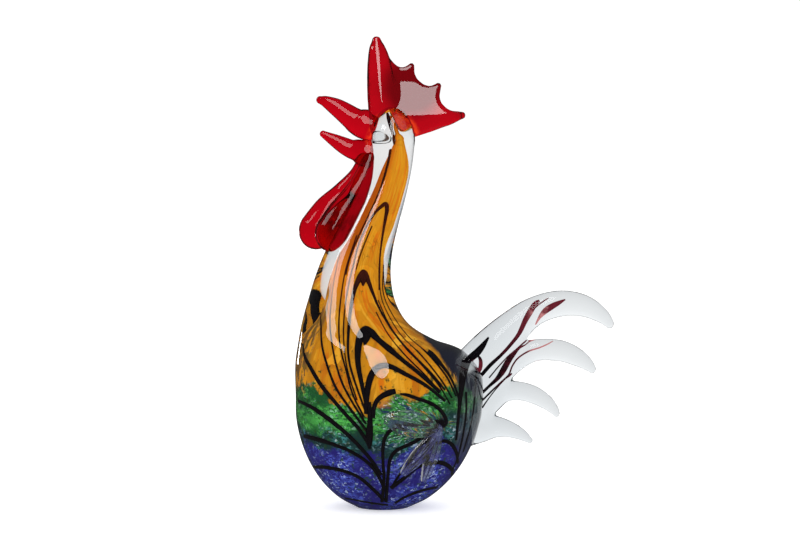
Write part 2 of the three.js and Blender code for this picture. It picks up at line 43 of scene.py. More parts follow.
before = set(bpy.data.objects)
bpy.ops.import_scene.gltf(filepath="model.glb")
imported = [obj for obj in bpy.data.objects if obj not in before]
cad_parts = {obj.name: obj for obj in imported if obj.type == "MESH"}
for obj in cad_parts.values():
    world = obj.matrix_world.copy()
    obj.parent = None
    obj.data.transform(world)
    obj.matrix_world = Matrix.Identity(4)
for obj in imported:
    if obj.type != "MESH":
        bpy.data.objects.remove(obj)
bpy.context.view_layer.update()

MM = 0.001

# The photograph's frame: its size in pixels, millimetres to a pixel at the bird's middle
# plane, and the pixel where the middle of the foot stands
FRAME_WIDE, FRAME_HIGH = 800, 533
MM_PER_PIXEL = 0.6157
FOOT_PIXEL = (383.0, 507.75)
SENSOR_WIDTH = 36.0

# Body rings from the foot up: x and z of the middle, half length, half depth across the
# bird, lean in degrees, and the clear glass that lies over the colour
BODY_RINGS = (
    (0.0, 0.0, 16.3, 15.5, 0.0, 3.0),
    (0.6, 5.96, 27.76, 25.26, 0.0, 4.5),
    (1.2, 14.85, 37.96, 33.94, 0.0, 5.5),
    (1.9, 26.27, 46.42, 41.14, 0.0, 6.5),
    (2.5, 39.68, 52.75, 46.53, 0.0, 7.5),
    (3.1, 54.49, 56.67, 49.87, 0.0, 8.0),
    (3.7, 70.0, 57.65, 51.0, 0.0, 8.5),
    (2.8, 86.0, 57.0, 50.0, 2.0, 10.5),
    (-1.8, 99.5, 50.5, 45.0, 3.0, 14.0),
    (-8.7, 109.0, 41.5, 38.0, 8.5, 17.5),
    (-15.0, 120.7, 32.0, 31.0, 14.0, 16.5),
    (-17.1, 134.2, 26.0, 25.5, 17.0, 14.0),
    (-16.0, 148.7, 21.8, 21.5, 17.0, 11.8),
    (-12.2, 162.9, 18.8, 18.5, 17.0, 11.0),
    (-6.5, 178.0, 16.4, 16.4, 16.0, 9.4),
    (-0.5, 193.6, 14.5, 14.8, 13.0, 8.4),
    (4.3, 210.0, 13.3, 14.0, 6.0, 8.3),
    (6.3, 226.0, 13.4, 13.6, 0.0, 11.6),
)
CROWN_HEIGHT = 21.0
BODY_SIDES = 128

# The core's rings, the heights between which it is set back in the neck, and its tip
CORE_STEPS = 140
CORE_FOOT_LIFT = 0.8
CORE_SETBACK_FROM = 128.0
CORE_SETBACK_TO = 176.0
CORE_TIP_RINGS = (
    (8.7, 0, 227.3, 2.0, 2.0, 0.0), (8.4, 0, 228.6, 1.6, 1.6, 0.0),
    (8.0, 0, 229.6, 0.9, 0.9, 0.0), (7.4, 0, 231.8, 0.85, 0.85, 0.0),
    (6.4, 0, 235.0, 0.85, 0.85, 0.0), (5.4, 0, 238.0, 0.7, 0.7, 0.0),
    (5.0, 0, 239.2, 0.3, 0.3, 0.0),
)

# The heart ends where its half length would be less than this, and fits with some play
THINNEST_HEART = 1.6
HEART_PLAY = 0.5

# Two black threads that run up side by side through the clear head: x, z and half width
HEAD_THREAD = (
    (4.0, 240.4, 0.5), (4.5, 237.0, 0.75), (5.4, 233.0, 0.8), (6.2, 228.4, 0.65),
    (6.7, 223.4, 0.5),
)
HEAD_THREAD_SIDE = 1.4

# Where the amber and green skins end, and where their colours end on the flank: the
# colour lines climb from there towards breast and tail, by so much to a millimetre
AMBER_FOOT, GREEN_FOOT = 68.0, 36.0
AMBER_LINE, GREEN_LINE, TEAL_LINE = 64.0, 48.0, 37.5
LINE_LOWEST_AT = -12.0
CLIMB_TO_BREAST, CLIMB_TO_TAIL = 0.45, 0.26

# Where the streaks under the wing meet, how far the dark saddle runs back with the square
# of the distance from its middle, the lean and place of the shaded streak down the nape,
# the painted shade line round each eye, and where a thread in the tail is red at its bend
STREAKS_MEET = (33.5, 56.5)
SADDLE_TAPER = 17.0
NAPE_LEAN, NAPE_SET_BACK = 0.3, 43.6
EYE_MIDDLE, EYE_RIM_SHADE_HALVES = (-0.7, 227.9), (6.2, 4.1)
RED_BEND = (58.5, -3.2, 87.0)

# How fine the amber's flakes are, and how much its streaks are drawn out up the core
FLAKE_SCALE = 170.0
AROUND_RISE = 4.0

# Lesser tints, each for one use
TINTS = {
    "cord in clear": (0.8, 0.84, 0.86, 1),
    "shade on nape": (0.2, 0.24, 0.33, 1),
    "thick clear": (0.78, 0.83, 0.865, 1),
    # Painted shade at the tail's edges, where the glass turns away
    "tail edge shade": (0.74, 0.76, 0.78, 1),
    # Painted shade round the eye's rim
    "eye rim shade": (0.02, 0.02, 0.025, 1),
    "dark red": (0.075, 0.0003, 0.0015, 1),
    "flake": (0.3, 0.115, 0.007, 1),
    "crack": (0.12, 0.06, 0.006, 1),
    "moss": (0.02, 0.045, 0.012, 1),
    "fleck": (0.55, 0.68, 0.78, 1),
    # Painted highlights on the wing's streaks
    "painted pale highlight": (0.5, 0.6, 0.68, 1),
    "pale sky": (0.35, 0.42, 0.6, 1),
    "mist": (0.085, 0.1, 0.105, 1),
    "dusk": (0.026, 0.024, 0.07, 1),
    "uncoloured": (0.5, 0.53, 0.53, 1),
    "brown": (0.05, 0.008, 0.003, 1),
    "rose": (0.55, 0.22, 0.22, 1),
}

# Pulled bits as (forward or back, up, half width) from the face, the crown or the rear
FACE = (-7.1, 226.0)
CROWN = (6.3, 247.0)
REAR = (61.7, 70.0)
UPPER_BEAK = (
    (-1, 8.6, 9.4), (5, 10.2, 9.2), (9, 11.8, 8.2), (12, 13.8, 7.2), (17.5, 17.8, 6.2),
    (22.5, 21, 5.2), (28, 23.8, 3.6), (31.4, 24.8, 2.4),
)
LOWER_BEAK = (
    (-1, -9, 9.4), (5, -7.4, 8.6), (9, -6, 6.9), (13, -5, 5.8), (18, -2.5, 5),
    (22.5, 0, 4), (27, 2.5, 2.8), (29.6, 4, 2.1),
)
LEFT_WATTLE = (
    (0.4, -12, 5.4), (4, -23, 6.8), (10, -34, 8.2), (17, -45, 10.2), (22.6, -55, 11.3),
)
RIGHT_WATTLE = (
    (3.4, -12, 5), (8.4, -22.5, 6.2), (17.6, -33, 7.4), (26, -43, 9.9), (33, -54.5, 11.8),
)
WATTLE_BOTTOM = 13.4

# Half depth of the bits as a share of their half width
BEAK_FLATNESS, WATTLE_FLATNESS, FEATHER_FLATNESS = 0.8, 0.68, 0.78
COMB_SPIKE = (
    (-5, -12, 9.4), (-6.3, 2, 9.4), (-7.6, 15, 8.6), (-8.7, 27, 7.2),
    (-9.8, 35.5, 5.2), (-10.2, 39.9, 3.1),
)
COMB_TAIL_POINT = (
    (11, -12, 7.4), (24, -8, 7.2), (34, -7, 4.8), (39.4, -6, 3.2), (42.2, -5.6, 2.5),
)
COMB_SWELL = ((0, -16, 8.5), (0, -4, 7.6), (-1.5, 8, 6.6), (-4, 18, 5.4))
COMB_NUBS = (
    ((7.6, 18, 5), (9.8, 22.4, 3), (11.2, 24.7, 2.1)),
    ((23, 8.2, 4.6), (26, 11, 2.9), (27.6, 12.6, 2.2)),
)

# The comb's pulled bits, each with its half depth as a share of its half width
COMB_BITS = (
    (COMB_SPIKE, 0.64), (COMB_SWELL, 0.62), (COMB_TAIL_POINT, 0.6),
    (COMB_NUBS[0], 0.3), (COMB_NUBS[1], 0.3),
)

# The comb's blade and its root: outlines of flat webs, as (forward or back, up)
COMB_BLADE = (
    (-12, -14), (-14.3, 2), (-14.3, 18), (-5, 30), (-2, 29.4), (0.6, 26.2), (3.6, 23.9),
    (6.6, 23.9), (9.6, 25.3), (11.4, 26.1), (12.9, 25.1), (13.2, 23), (12.9, 20.6), (14.7, 16.7),
    (18.6, 13.3), (22.6, 12.2), (25.7, 13), (28.4, 13.9), (29.5, 12.5), (28.9, 9), (28.3, 5.9),
    (29.5, 2), (32.8, -1.4), (37.4, -3.6), (41, -4.4), (41, -8.2), (38.8, -9.6), (33.4, -12),
    (27.4, -13), (22.4, -13.9), (18, -15.8), (14, -16.7), (6, -22),
)
COMB_ROOT = (
    (-3, -2), (-0.6, -8.4), (1.6, -14), (2.8, -16.2), (5, -16.6), (8, -14.5), (13, -10),
    (8, 4), (-2, 4),
)

# The tail's four feathers, from the longest down, as pulled bits; the outline of its web;
# and the greatest half depth of a feather
FEATHERS = (
    (
        (-13, 6, 15.5), (3, 25.5, 13.2), (17.7, 40.3, 11), (31.3, 50.8, 9.1),
        (47.3, 55.7, 8.3), (62, 54.3, 7), (73, 48.3, 5), (78, 43.1, 3.3),
    ),
    (
        (-10.5, -3, 13), (5.4, 10.8, 10.4), (19, 21.2, 8.3), (32, 26.8, 7),
        (47.3, 26.6, 6.8), (58, 22.5, 5.8), (64.8, 17.8, 4.1), (67.4, 15, 3),
    ),
    (
        (-10.5, -13, 12), (3, -5.2, 8.6), (12.8, 0.8, 6.6), (22.7, 1.6, 6),
        (32, -1.1, 5.7), (39.5, -5.7, 4.7), (43.6, -9.7, 3.5), (45.2, -12.3, 2.8),
    ),
    (
        (-13, -22.5, 12), (-2, -22, 8.9), (7.3, -20.6, 7.1), (16.5, -22.2, 5.3),
        (23.9, -25.5, 3.9), (27.6, -28, 2.8), (29.2, -29.3, 2.3),
    ),
)
TAIL_WEB = (
    (-16, 20), (4, 34), (20, 42), (27.8, 37.3), (24, 25),
    (16.3, 12.2), (16, 1.5), (6.3, -10.6), (6, -20), (-14, -32),
)
FEATHER_DEEPEST = 9.5

# The wing's hub, and its lobes by the tip's place, the number of ridges and their spread
WING_HUB = (34.7, 53.0)
WING_LOBES = (((2.2, 60.5), 5, 6.0), ((12.2, 26.0), 3, 3.0), ((24.7, 20.5), 3, 2.6))

# The eye's outline in x and z, and how far out in the cheek it is made
EYE_OUTLINE = (
    (-6.6, 231.6), (-3, 231.8), (0.6, 231.3), (3.4, 230.2), (5.2, 228.4), (5.5, 226.4),
    (4.6, 224.9), (1.8, 224.1), (-2, 223.9), (-6.6, 224.2),
)
CHEEK_OUT = 13.0

# Bits are melted together by remeshing at a grain in metres and smoothing so many times
BLADE_MELT, COMB_MELT, COMB_ROOT_MELT = (0.0007, 0), (0.0005, 26), (0.0006, 4)
WING_MELT, TAIL_MELT = (0.0005, 3), (0.0008, 30)

# The comb's blade is so many times its half depth at the crown, and loses a share of it
# with each millimetre up, within these limits
BLADE_AT_CROWN, BLADE_TAPER, BLADE_THINNEST, BLADE_THICKEST = 1.3, 0.055, 0.5, 1.6

# Angles in degrees up to which the casing, the bits on it and fine work are shaded smooth
CASING_CREASE, BIT_CREASE, FINE_CREASE = 40, 50, 60

# A ray bent by the casing starts so far below its surface, in metres
JUST_INSIDE = 1e-5

# A thread seen as far as this round the bird, in degrees, goes on over its far side, where
# the pattern is drawn together to meet it
LIMB = 100.0

# Soft lights by azimuth and elevation in degrees, and the cards that only the glass's
# gloss mirrors, also by width and height in metres and share of the full brightness.
# All look at a place at this height in metres, from so many metres away.
LIGHTS_AIM_AT = 0.12
LIGHT_AWAY, LIGHT_SIZE, CARD_AWAY = 1.6, 0.7, 1.2
SOFT_LIGHTS = (
    ("front_left_light", -40, 45), ("front_right_light", 50, 40), ("back_light", 180, 50),
)
CARDS = (
    ("strip_card", -6, 37, 0.44, 1.25, 0.65, "ELLIPSE"),
    ("left_card", -61, 31, 0.55, 0.18, 0.55, "RECTANGLE"),
    ("back_left_card", -145, -2, 0.12, 0.1, 0.9, "RECTANGLE"),
)

# Black combed threads as they are seen through the casing: pixel across, pixel down and
# width in pixels at each station. Each is laid on the coloured core behind that pixel.
SEEN_THREADS = (
    ((388, 505, 3.6), (372, 503, 3.4), (345, 498, 2.6)),
    ((384, 500, 4.4), (374, 490, 4.2), (360, 478, 4.2), (344, 471, 4.4), (327, 467.5, 4.6),
     (314, 467, 3.6)),
    ((384, 487, 3.6), (376, 472, 3.8), (366, 461, 3.8), (350, 451, 3.8), (335, 445, 4.2),
     (320, 440, 5), (304, 436, 4.4)),
    ((381, 475, 4), (372, 461, 4), (361, 448, 4), (346, 433, 4.4), (329, 419, 5), (313, 408, 4.6),
     (299, 401, 3.4)),
    ((370, 446, 4), (358, 428, 4), (346, 415, 4), (334, 401, 4), (321, 385, 4.6), (312, 370, 4.4),
     (305, 357, 3.4), (303, 345, 2)),
    ((369, 434, 3), (351, 410, 2.8), (336, 388, 2.8), (327, 365, 2.6), (322, 345, 2.2),
     (321, 325, 1.6), (321, 310, 1)),
    ((366, 424, 2.6), (351, 400, 2.4), (341, 380, 2.4), (334, 355, 2), (330, 325, 1.4), (332, 295, 0.9),
     (336, 270, 0.8), (341, 250, 0.8)),
    ((364, 417, 2.2), (353, 395, 2), (346, 370, 1.8), (340, 345, 1.6), (339, 320, 1.4), (342, 290, 1.2),
     (347, 265, 1.2), (357, 235, 1.2)),
    ((357, 400, 1.6), (348, 372, 1.4), (344, 345, 1.2), (344, 318, 1.2), (348, 288, 1.2), (354, 262, 1.2)),
    ((365, 410, 2.2), (357, 388, 2.2), (350, 365, 2.2), (348, 345, 2.4), (350, 315, 2.8),
     (354, 292, 3.4), (358, 281, 4.6), (361.5, 274, 5), (363.5, 271, 3.6), (365.5, 274, 5),
     (369, 283, 4), (373, 294, 3), (380, 310, 2.4), (392, 330, 2.4), (408, 350, 2.4), (430, 372, 2.4),
     (445, 390, 2.2)),
    ((363.5, 271, 2), (363.5, 276, 5), (363.3, 281, 5.4), (363, 286, 1.4)),
    ((366, 402, 4), (361, 380, 4.4), (358, 362, 5.4), (358.5, 346, 6.6), (361, 334, 7),
     (365, 328, 5.4), (370, 332, 8), (377, 338.5, 6.4), (386, 346, 5.6), (400, 358, 4.6),
     (420, 374, 4), (440, 392, 4)),
    ((365, 328, 3), (366, 334, 9), (366, 339, 8), (365, 345, 2)),
    ((366, 414, 4), (367, 396, 5.4), (369.5, 381, 6.4), (374, 371, 6.4), (381, 366, 5.8),
     (391, 367, 5), (405, 374, 4), (425, 385, 3.4), (445, 401, 3)),
    ((373, 418, 4), (374, 408, 4.2), (377.5, 400, 4.6), (384, 395, 5.4), (390, 392.5, 6),
     (395.5, 391, 5)),
    ((400, 394, 2), (407, 395, 3.6), (417, 398.5, 4), (430, 403, 4), (439, 409, 4), (445, 417, 4),
     (446, 424, 3.6), (441, 428, 3)),
    ((369, 402, 4), (370, 418, 5), (369.5, 432, 7), (369, 441, 7), (369.5, 449, 2)),
    ((382, 502, 3.4), (384, 480, 3.2), (383, 462, 3), (383, 448, 3.2), (386, 436, 3.8),
     (394, 428.5, 4), (408, 425.5, 3.6), (424, 423.5, 3.4), (438, 421, 3.4)),
    ((386, 502, 3.4), (388, 476, 3.2), (390, 460, 3.4), (396, 451, 3.8), (408, 445, 4), (418, 440, 4),
     (428, 433, 4), (437, 425, 4)),
    ((391, 488, 5), (399, 482, 4.6), (409, 474, 4), (418, 467, 4), (427, 463.5, 4.4),
     (437, 462, 4.8), (446, 464.5, 4.6), (452, 470, 4), (452, 478, 3)),
    ((391, 488, 2.4), (406, 465, 2.8), (421, 451, 3), (431, 437, 2.6)),
    ((395, 503, 3.4), (405, 497, 3.8), (420, 491, 4.4), (437, 487, 4)),
    ((436, 443, 3), (444, 441, 3.8), (451, 444, 4), (456, 452, 4), (458, 463, 3)),
    ((380, 258, 1.2), (380, 290, 1.2), (386, 310, 1.2), (401, 335, 1.4), (421, 355, 1.6),
     (441, 380, 1.8), (452, 398, 1.8)),
    ((383, 265, 1.2), (383, 292, 1.4), (392, 314, 1.4), (408, 336, 1.6), (428, 354, 2), (446, 376, 2.2),
     (456, 396, 2)),
    ((378, 300, 1.2), (388, 322, 1.2), (402, 344, 1.2), (420, 363, 1.6), (438, 384, 1.8),
     (450, 404, 1.8)),
    ((376, 312, 1.2), (388, 334, 1.2), (404, 354, 1.4), (424, 374, 1.6), (440, 392, 1.8)),
    ((428, 351, 5), (435, 358, 6), (443, 367, 4), (450, 377, 3), (456, 390, 2.6), (460, 404, 2.4)),
    ((353, 268, 1.2), (357, 250, 1.4), (362, 236, 1.6), (368, 224, 1.8), (375, 213, 2.2),
     (382, 206, 3), (386, 203.5, 3.4), (387, 209, 3.6), (385.5, 218, 3), (383, 232, 2.2),
     (380.5, 250, 1.8), (379, 268, 1.6), (379, 290, 1.4)),
    ((391, 150, 2.6), (388.5, 162, 2.2), (385, 175, 2), (380, 190, 1.6), (374, 204, 1.4),
     (366, 221, 1.4), (358, 238, 1.4), (350, 258, 1.4), (346, 275, 1.2)),
    ((372, 226, 1.2), (366, 240, 1.2), (360, 256, 1.2), (356, 270, 1)),
    ((471, 352, 7), (466, 362, 9), (462.5, 375, 9), (461, 389, 7), (459.5, 403, 5),
     (458, 420, 4), (456, 440, 3)),
    ((476, 372, 3), (475, 392, 3), (473, 412, 3), (469, 432, 3), (463, 452, 3)),
    ((466, 392, 3), (466, 412, 3), (463, 434, 3), (458, 456, 3), (451, 474, 3)),
)

# Threads in the tail in the same way, each with its place across the tail and its strands
SEEN_TAIL_THREADS = (
    (3.2, (
        ((461, 392, 5), (461, 378, 7), (463, 367, 8), (469, 360, 8), (477, 353, 8), (483, 346, 6),
         (489, 337.5, 2)),
        ((477, 354, 2), (480.5, 360, 4), (480, 368, 4.4), (477, 374, 2)),
    )),
    (-2.6, (
        ((479, 378, 4), (489, 366, 4), (500, 355, 3.4), (510, 344, 3.6), (518, 334, 4.2),
         (525, 321, 5.4), (531, 311.5, 6), (536, 305, 4.6), (540, 302, 2)),
        ((528, 316, 2), (536, 308, 1.6), (543, 303, 1.4), (549, 299.5, 1)),
    )),
    (2.6, (
        ((489, 378, 1.6), (498, 367, 1.6), (507, 357, 1.8), (517, 348.5, 1.8), (526, 340, 1.8)),
        ((535, 324, 1.4), (539, 317, 3.4), (545, 310.5, 6.4), (552, 306, 6.4), (559, 302.5, 4.4),
         (565, 299.5, 1.4)),
    )),
    (-2.6, (
        ((482, 393, 3), (490, 385.5, 3), (497, 379, 4.4), (503, 371, 6.2), (508, 362.5, 6.6),
         (514, 354.5, 5), (520, 348, 2.6), (529, 344, 1.6), (544, 340, 1.2)),
    )),
    (2.8, (
        ((481, 401, 2.4), (490, 392, 2.2), (499, 383.5, 2), (508, 375, 2), (512, 366, 1.8),
         (518, 358, 1.8), (528, 351.5, 1.8), (540, 347.5, 1.6), (548, 344, 1.4), (553, 341, 1)),
    )),
    (-2.8, (
        ((482, 409, 1.8), (491, 395, 1.8), (500, 384.5, 1.8), (508, 376, 1.6), (511, 373, 1.4)),
    )),
)


class GlassSizes(bpy.types.PropertyGroup):
    """Sizes of the glass that a maker would change."""

    index: bpy.props.FloatProperty(
        name="Refractive Index", description="How strongly the glass bends light",
        default=1.5, min=1.3, max=1.8)
    core_setback: bpy.props.FloatProperty(
        name="Core Setback", description="How far the neck's colour lies behind its middle",
        default=0.0026, unit="LENGTH")
    skin: bpy.props.FloatProperty(
        name="Skin", description="Thickness of the coloured skins on the heart",
        default=0.0024, unit="LENGTH")
    seam: bpy.props.FloatProperty(
        name="Seam", description="Clearance between a stuck-on bit and the casing",
        default=0.00006, unit="LENGTH")
    comb_depth: bpy.props.FloatProperty(
        name="Comb Depth", description="Half thickness of the comb's web",
        default=0.0033, unit="LENGTH")
    tail_depth: bpy.props.FloatProperty(
        name="Tail Depth", description="Half thickness of the tail's web",
        default=0.006, unit="LENGTH")
    wing_standout: bpy.props.FloatProperty(
        name="Wing Standout", description="How far the wing's lobes stand out",
        default=0.0026, unit="LENGTH")
    eye_standout: bpy.props.FloatProperty(
        name="Eye Standout", description="How far the eye stands out of the cheek",
        default=0.0012, unit="LENGTH")
    wattle_apart: bpy.props.FloatProperty(
        name="Wattle Apart", description="How far each wattle hangs from the middle",
        default=0.011, unit="LENGTH")


class GlassColours(bpy.types.PropertyGroup):
    """Colours of the glass."""

    clear: bpy.props.FloatVectorProperty(
        name="Clear", description="Clear glass", subtype="COLOR", size=4,
        default=(0.96, 0.975, 0.98, 1))
    # Painted shade at the clear glass's edges, where it turns away from the view
    clear_edge_shade: bpy.props.FloatVectorProperty(
        name="Clear Edge Shade", description="Clear glass where it turns away", subtype="COLOR",
        size=4, default=(0.2, 0.22, 0.235, 1))
    red: bpy.props.FloatVectorProperty(
        name="Red", description="Comb, beaks and wattles", subtype="COLOR", size=4,
        default=(0.58, 0.0012, 0.0085, 1))
    deep_red: bpy.props.FloatVectorProperty(
        name="Deep Red", description="Red glass where it is thick", subtype="COLOR",
        size=4, default=(0.21, 0.0004, 0.003, 1))
    thin_red: bpy.props.FloatVectorProperty(
        name="Thin Red", description="Red glass where it is drawn thin on the head",
        subtype="COLOR", size=4, default=(0.95, 0.055, 0.012, 1))
    # Painted shade at the red glass's edges, where it turns away from the view
    red_edge_shade: bpy.props.FloatVectorProperty(
        name="Red Edge Shade", description="Red glass where it turns away", subtype="COLOR",
        size=4, default=(0.09, 0.0002, 0.001, 1))
    amber: bpy.props.FloatVectorProperty(
        name="Amber", description="Neck and back", subtype="COLOR", size=4,
        default=(0.64, 0.25, 0.009, 1))
    honey: bpy.props.FloatVectorProperty(
        name="Honey", description="Pale streaks in the amber", subtype="COLOR", size=4,
        default=(0.74, 0.35, 0.025, 1))
    orange: bpy.props.FloatVectorProperty(
        name="Orange", description="Dark streaks in the amber and the neck's front",
        subtype="COLOR", size=4, default=(0.62, 0.14, 0.005, 1))
    green: bpy.props.FloatVectorProperty(
        name="Green", description="Crushed glass of the middle band", subtype="COLOR",
        size=4, default=(0.01, 0.065, 0.02, 1))
    lime: bpy.props.FloatVectorProperty(
        name="Lime", description="Light grains in the green", subtype="COLOR", size=4,
        default=(0.08, 0.4, 0.07, 1))
    teal: bpy.props.FloatVectorProperty(
        name="Teal", description="Crushed glass where green meets blue", subtype="COLOR",
        size=4, default=(0.009, 0.027, 0.027, 1))
    aqua: bpy.props.FloatVectorProperty(
        name="Aqua", description="Light grains in the teal", subtype="COLOR", size=4,
        default=(0.06, 0.25, 0.25, 1))
    blue: bpy.props.FloatVectorProperty(
        name="Blue", description="Crushed glass of the foot", subtype="COLOR", size=4,
        default=(0.017, 0.013, 0.12, 1))
    sky: bpy.props.FloatVectorProperty(
        name="Sky", description="Light grains in the blue", subtype="COLOR", size=4,
        default=(0.06, 0.085, 0.42, 1))
    smoke: bpy.props.FloatVectorProperty(
        name="Smoke", description="Dark glass drawn together at the tail's root",
        subtype="COLOR", size=4, default=(0.012, 0.013, 0.022, 1))
    veil: bpy.props.FloatVectorProperty(
        name="Veil", description="Grey film over the colour beside the tail",
        subtype="COLOR", size=4, default=(0.052, 0.06, 0.066, 1))
    black: bpy.props.FloatVectorProperty(
        name="Black", description="Combed threads", subtype="COLOR", size=4,
        default=(0.004, 0.003, 0.004, 1))
    burgundy: bpy.props.FloatVectorProperty(
        name="Burgundy", description="Thin ends of the threads in the tail",
        subtype="COLOR", size=4, default=(0.11, 0.012, 0.02, 1))


class Studio(bpy.types.PropertyGroup):
    """Camera and light."""

    lens: bpy.props.FloatProperty(
        name="Lens", description="Focal length", default=100.0, unit="CAMERA")
    elevation: bpy.props.FloatProperty(
        name="Elevation", description="How far the camera looks down",
        default=math.radians(3), subtype="ANGLE")
    softbox: bpy.props.FloatProperty(
        name="Softbox", description="Brightness of the soft light", default=1.0, min=0)
    card: bpy.props.FloatProperty(
        name="Card", description="Brightness of the cards that the glass mirrors",
        default=8.5, min=0)
    backdrop: bpy.props.FloatProperty(
        name="Backdrop", description="Brightness of the backdrop seen through the glass",
        default=0.93, min=0)


def tint(name):
    """One of the lesser tints or of the glass colours by its name."""
    return TINTS.get(name) or tuple(getattr(bpy.context.scene.glass_colours, name))


def smooth(rows, count):
    """Rows of numbers read at even steps along a smooth curve through them."""
    rows = np.array(rows, float)
    padded = np.vstack([2 * rows[0] - rows[1], rows, 2 * rows[-1] - rows[-2]])
    place = np.linspace(0, len(rows) - 1, count)
    start = np.minimum(place.astype(int), len(rows) - 2)
    t = (place - start)[:, None]
    a, b, c, d = (padded[start + k] for k in range(4))
    return 0.5 * (2 * b + (c - a) * t + (2 * a - 5 * b + 4 * c - d) * t**2
                  + (3 * b - a - 3 * c + d) * t**3)


def only(*pieces):
    """Selects these pieces alone and makes the first one active."""
    bpy.ops.object.select_all(action="DESELECT")
    for piece in pieces:
        piece.select_set(True)
    if pieces:
        bpy.context.view_layer.objects.active = pieces[0]


def loft(name, rings, sides):
    """A closed piece over rings of (x, y, z, half length, half depth, lean), in mm."""
    only()
    origin = (0, 0, 0)
    for i, (x, y, z, length, depth, lean) in enumerate(rings):
        bpy.ops.mesh.primitive_circle_add(vertices=sides, radius=MM)
        if i == 0:
            bpy.context.object.name = name
            bpy.ops.object.mode_set(mode="EDIT")
        bpy.ops.transform.resize(value=(length, depth, 1), center_override=origin)
        bpy.ops.transform.rotate(value=-lean, orient_axis="Y", center_override=origin)
        bpy.ops.transform.translate(value=(x * MM, y * MM, z * MM))
    bpy.ops.mesh.select_all(action="SELECT")
    bpy.ops.mesh.bridge_edge_loops(type="SINGLE")
    bpy.ops.mesh.select_all(action="SELECT")
    bpy.ops.mesh.fill_holes(sides=0)
    bpy.context.tool_settings.mesh_select_mode = (False, False, True)
    bpy.ops.mesh.select_all(action="DESELECT")
    bpy.ops.mesh.select_face_by_sides(number=4, type="GREATER")
    bpy.ops.mesh.poke()
    bpy.ops.mesh.select_all(action="SELECT")
    bpy.ops.mesh.normals_make_consistent(inside=False)
    bpy.ops.object.mode_set(mode="OBJECT")
    return bpy.context.object


def finish_with(piece, kind, **settings):
    """Adds a modifier to a piece and applies it."""
    only(piece)
    bpy.ops.object.modifier_add(type=kind)
    modifier = piece.modifiers[-1]
    for setting, value in settings.items():
        setattr(modifier, setting, value)
    bpy.ops.object.modifier_apply(modifier=modifier.name)


def smooth_shaded(piece, degrees=None):
    """Shades a piece smooth, all over or only where it turns by less than an angle."""
    only(piece)
    if degrees is None:
        bpy.ops.object.shade_smooth()
    else:
        bpy.ops.object.shade_smooth_by_angle(angle=math.radians(degrees))


def joined(pieces, name):
    only(*pieces)
    if len(pieces) > 1:
        bpy.ops.object.join()
    bpy.context.object.name = name
    return bpy.context.object


def melted(piece, grain, passes):
    """Melts a piece into one skin: remeshed at a grain in metres, then smoothed."""
    finish_with(piece, "REMESH", mode="VOXEL", voxel_size=grain)
    if passes:
        finish_with(piece, "SMOOTH", factor=0.5, iterations=passes)
    return piece


def cut_by(piece, cutter, solver="EXACT"):
    """Takes the cutter's space out of a piece."""
    finish_with(piece, "BOOLEAN", operation="DIFFERENCE", solver=solver, object=cutter)


def removed(*pieces):
    for piece in pieces:
        bpy.data.objects.remove(piece)


def swollen_copy(piece, by, name):
    """A hidden copy of a piece that is fatter all over, to cut its neighbours with."""
    copy = piece.copy()
    copy.data = piece.data.copy()
    copy.name = name
    copy.hide_render = True
    bpy.context.scene.collection.objects.link(copy)
    normals = [v.normal.copy() for v in copy.data.vertices]
    for vertex, normal in zip(copy.data.vertices, normals):
        vertex.co += by * normal
    return copy


def dome(ring, way, reach, count):
    """Rings that round a shape off over one of its rings, along a way in x and z."""
    x, y, z, length, depth, lean = ring
    rings = []
    for i in range(1, count + 1):
        lift = math.pi / 2 * i / (count + 0.35)
        step = reach * math.sin(lift)
        shrink = math.cos(lift)
        rings.append((x + way[0] * step, y, z + way[1] * step, length * shrink,
                      depth * shrink, lean))
    return rings


def body_rings(count):
    """Rings of the clear casing, from the ground foot to the crown."""
    rows = smooth(BODY_RINGS, count)
    rings = [(x, 0, z, length, depth, math.radians(lean))
             for x, z, length, depth, lean, _wall in rows]
    return rings + dome(rings[-1], (0, 1), CROWN_HEIGHT, 16)


def core_rings(count, deeper=0.0):
    """Rings of the coloured core, set back in the neck, or of a core so much deeper."""
    setback = bpy.context.scene.glass_sizes.core_setback / MM
    rings = []
    for x, z, length, depth, lean, wall in smooth(BODY_RINGS, count):
        share = (z - CORE_SETBACK_FROM) / (CORE_SETBACK_TO - CORE_SETBACK_FROM)
        back = setback * min(1.0, max(0.0, share))
        inset = wall + deeper
        rings.append((x + back, 0, max(z, CORE_FOOT_LIFT), length - inset, depth - inset,
                      math.radians(lean)))
    return rings


def ways_along(places):
    """Unit ways of travel along places in x and z."""
    ways = np.gradient(places, axis=0)
    return ways / np.linalg.norm(ways, axis=1)[:, None]


def rounded_off(rings, ways, near_steps, far_steps, far_reach=None):
    """Rings with both ends rounded off, the far one over a length of its own."""
    near = dome(rings[0], -ways[0], rings[0][3], near_steps)
    far = dome(rings[-1], ways[-1], far_reach or rings[-1][3], far_steps)
    return near[::-1] + rings + far


def rod_rings(rows, origin, forward, depth_of, count, sideways=lambda share: 0.0, end=None):
    """Rings of a pulled bit, by its rows, its origin and how deep it is at a half width."""
    stations = smooth(rows, count)
    places = np.array([(origin[0] + forward * a, origin[1] + up) for a, up, _half in stations])
    ways = ways_along(places)
    rings = []
    for i, ((x, z), (way_x, way_z), (_a, _up, half)) in enumerate(zip(places, ways, stations)):
        y = sideways(i / (count - 1))
        rings.append((x, y, z, half, depth_of(half), math.atan2(way_x, way_z)))
    return rounded_off(rings, ways, 6, 8, end)


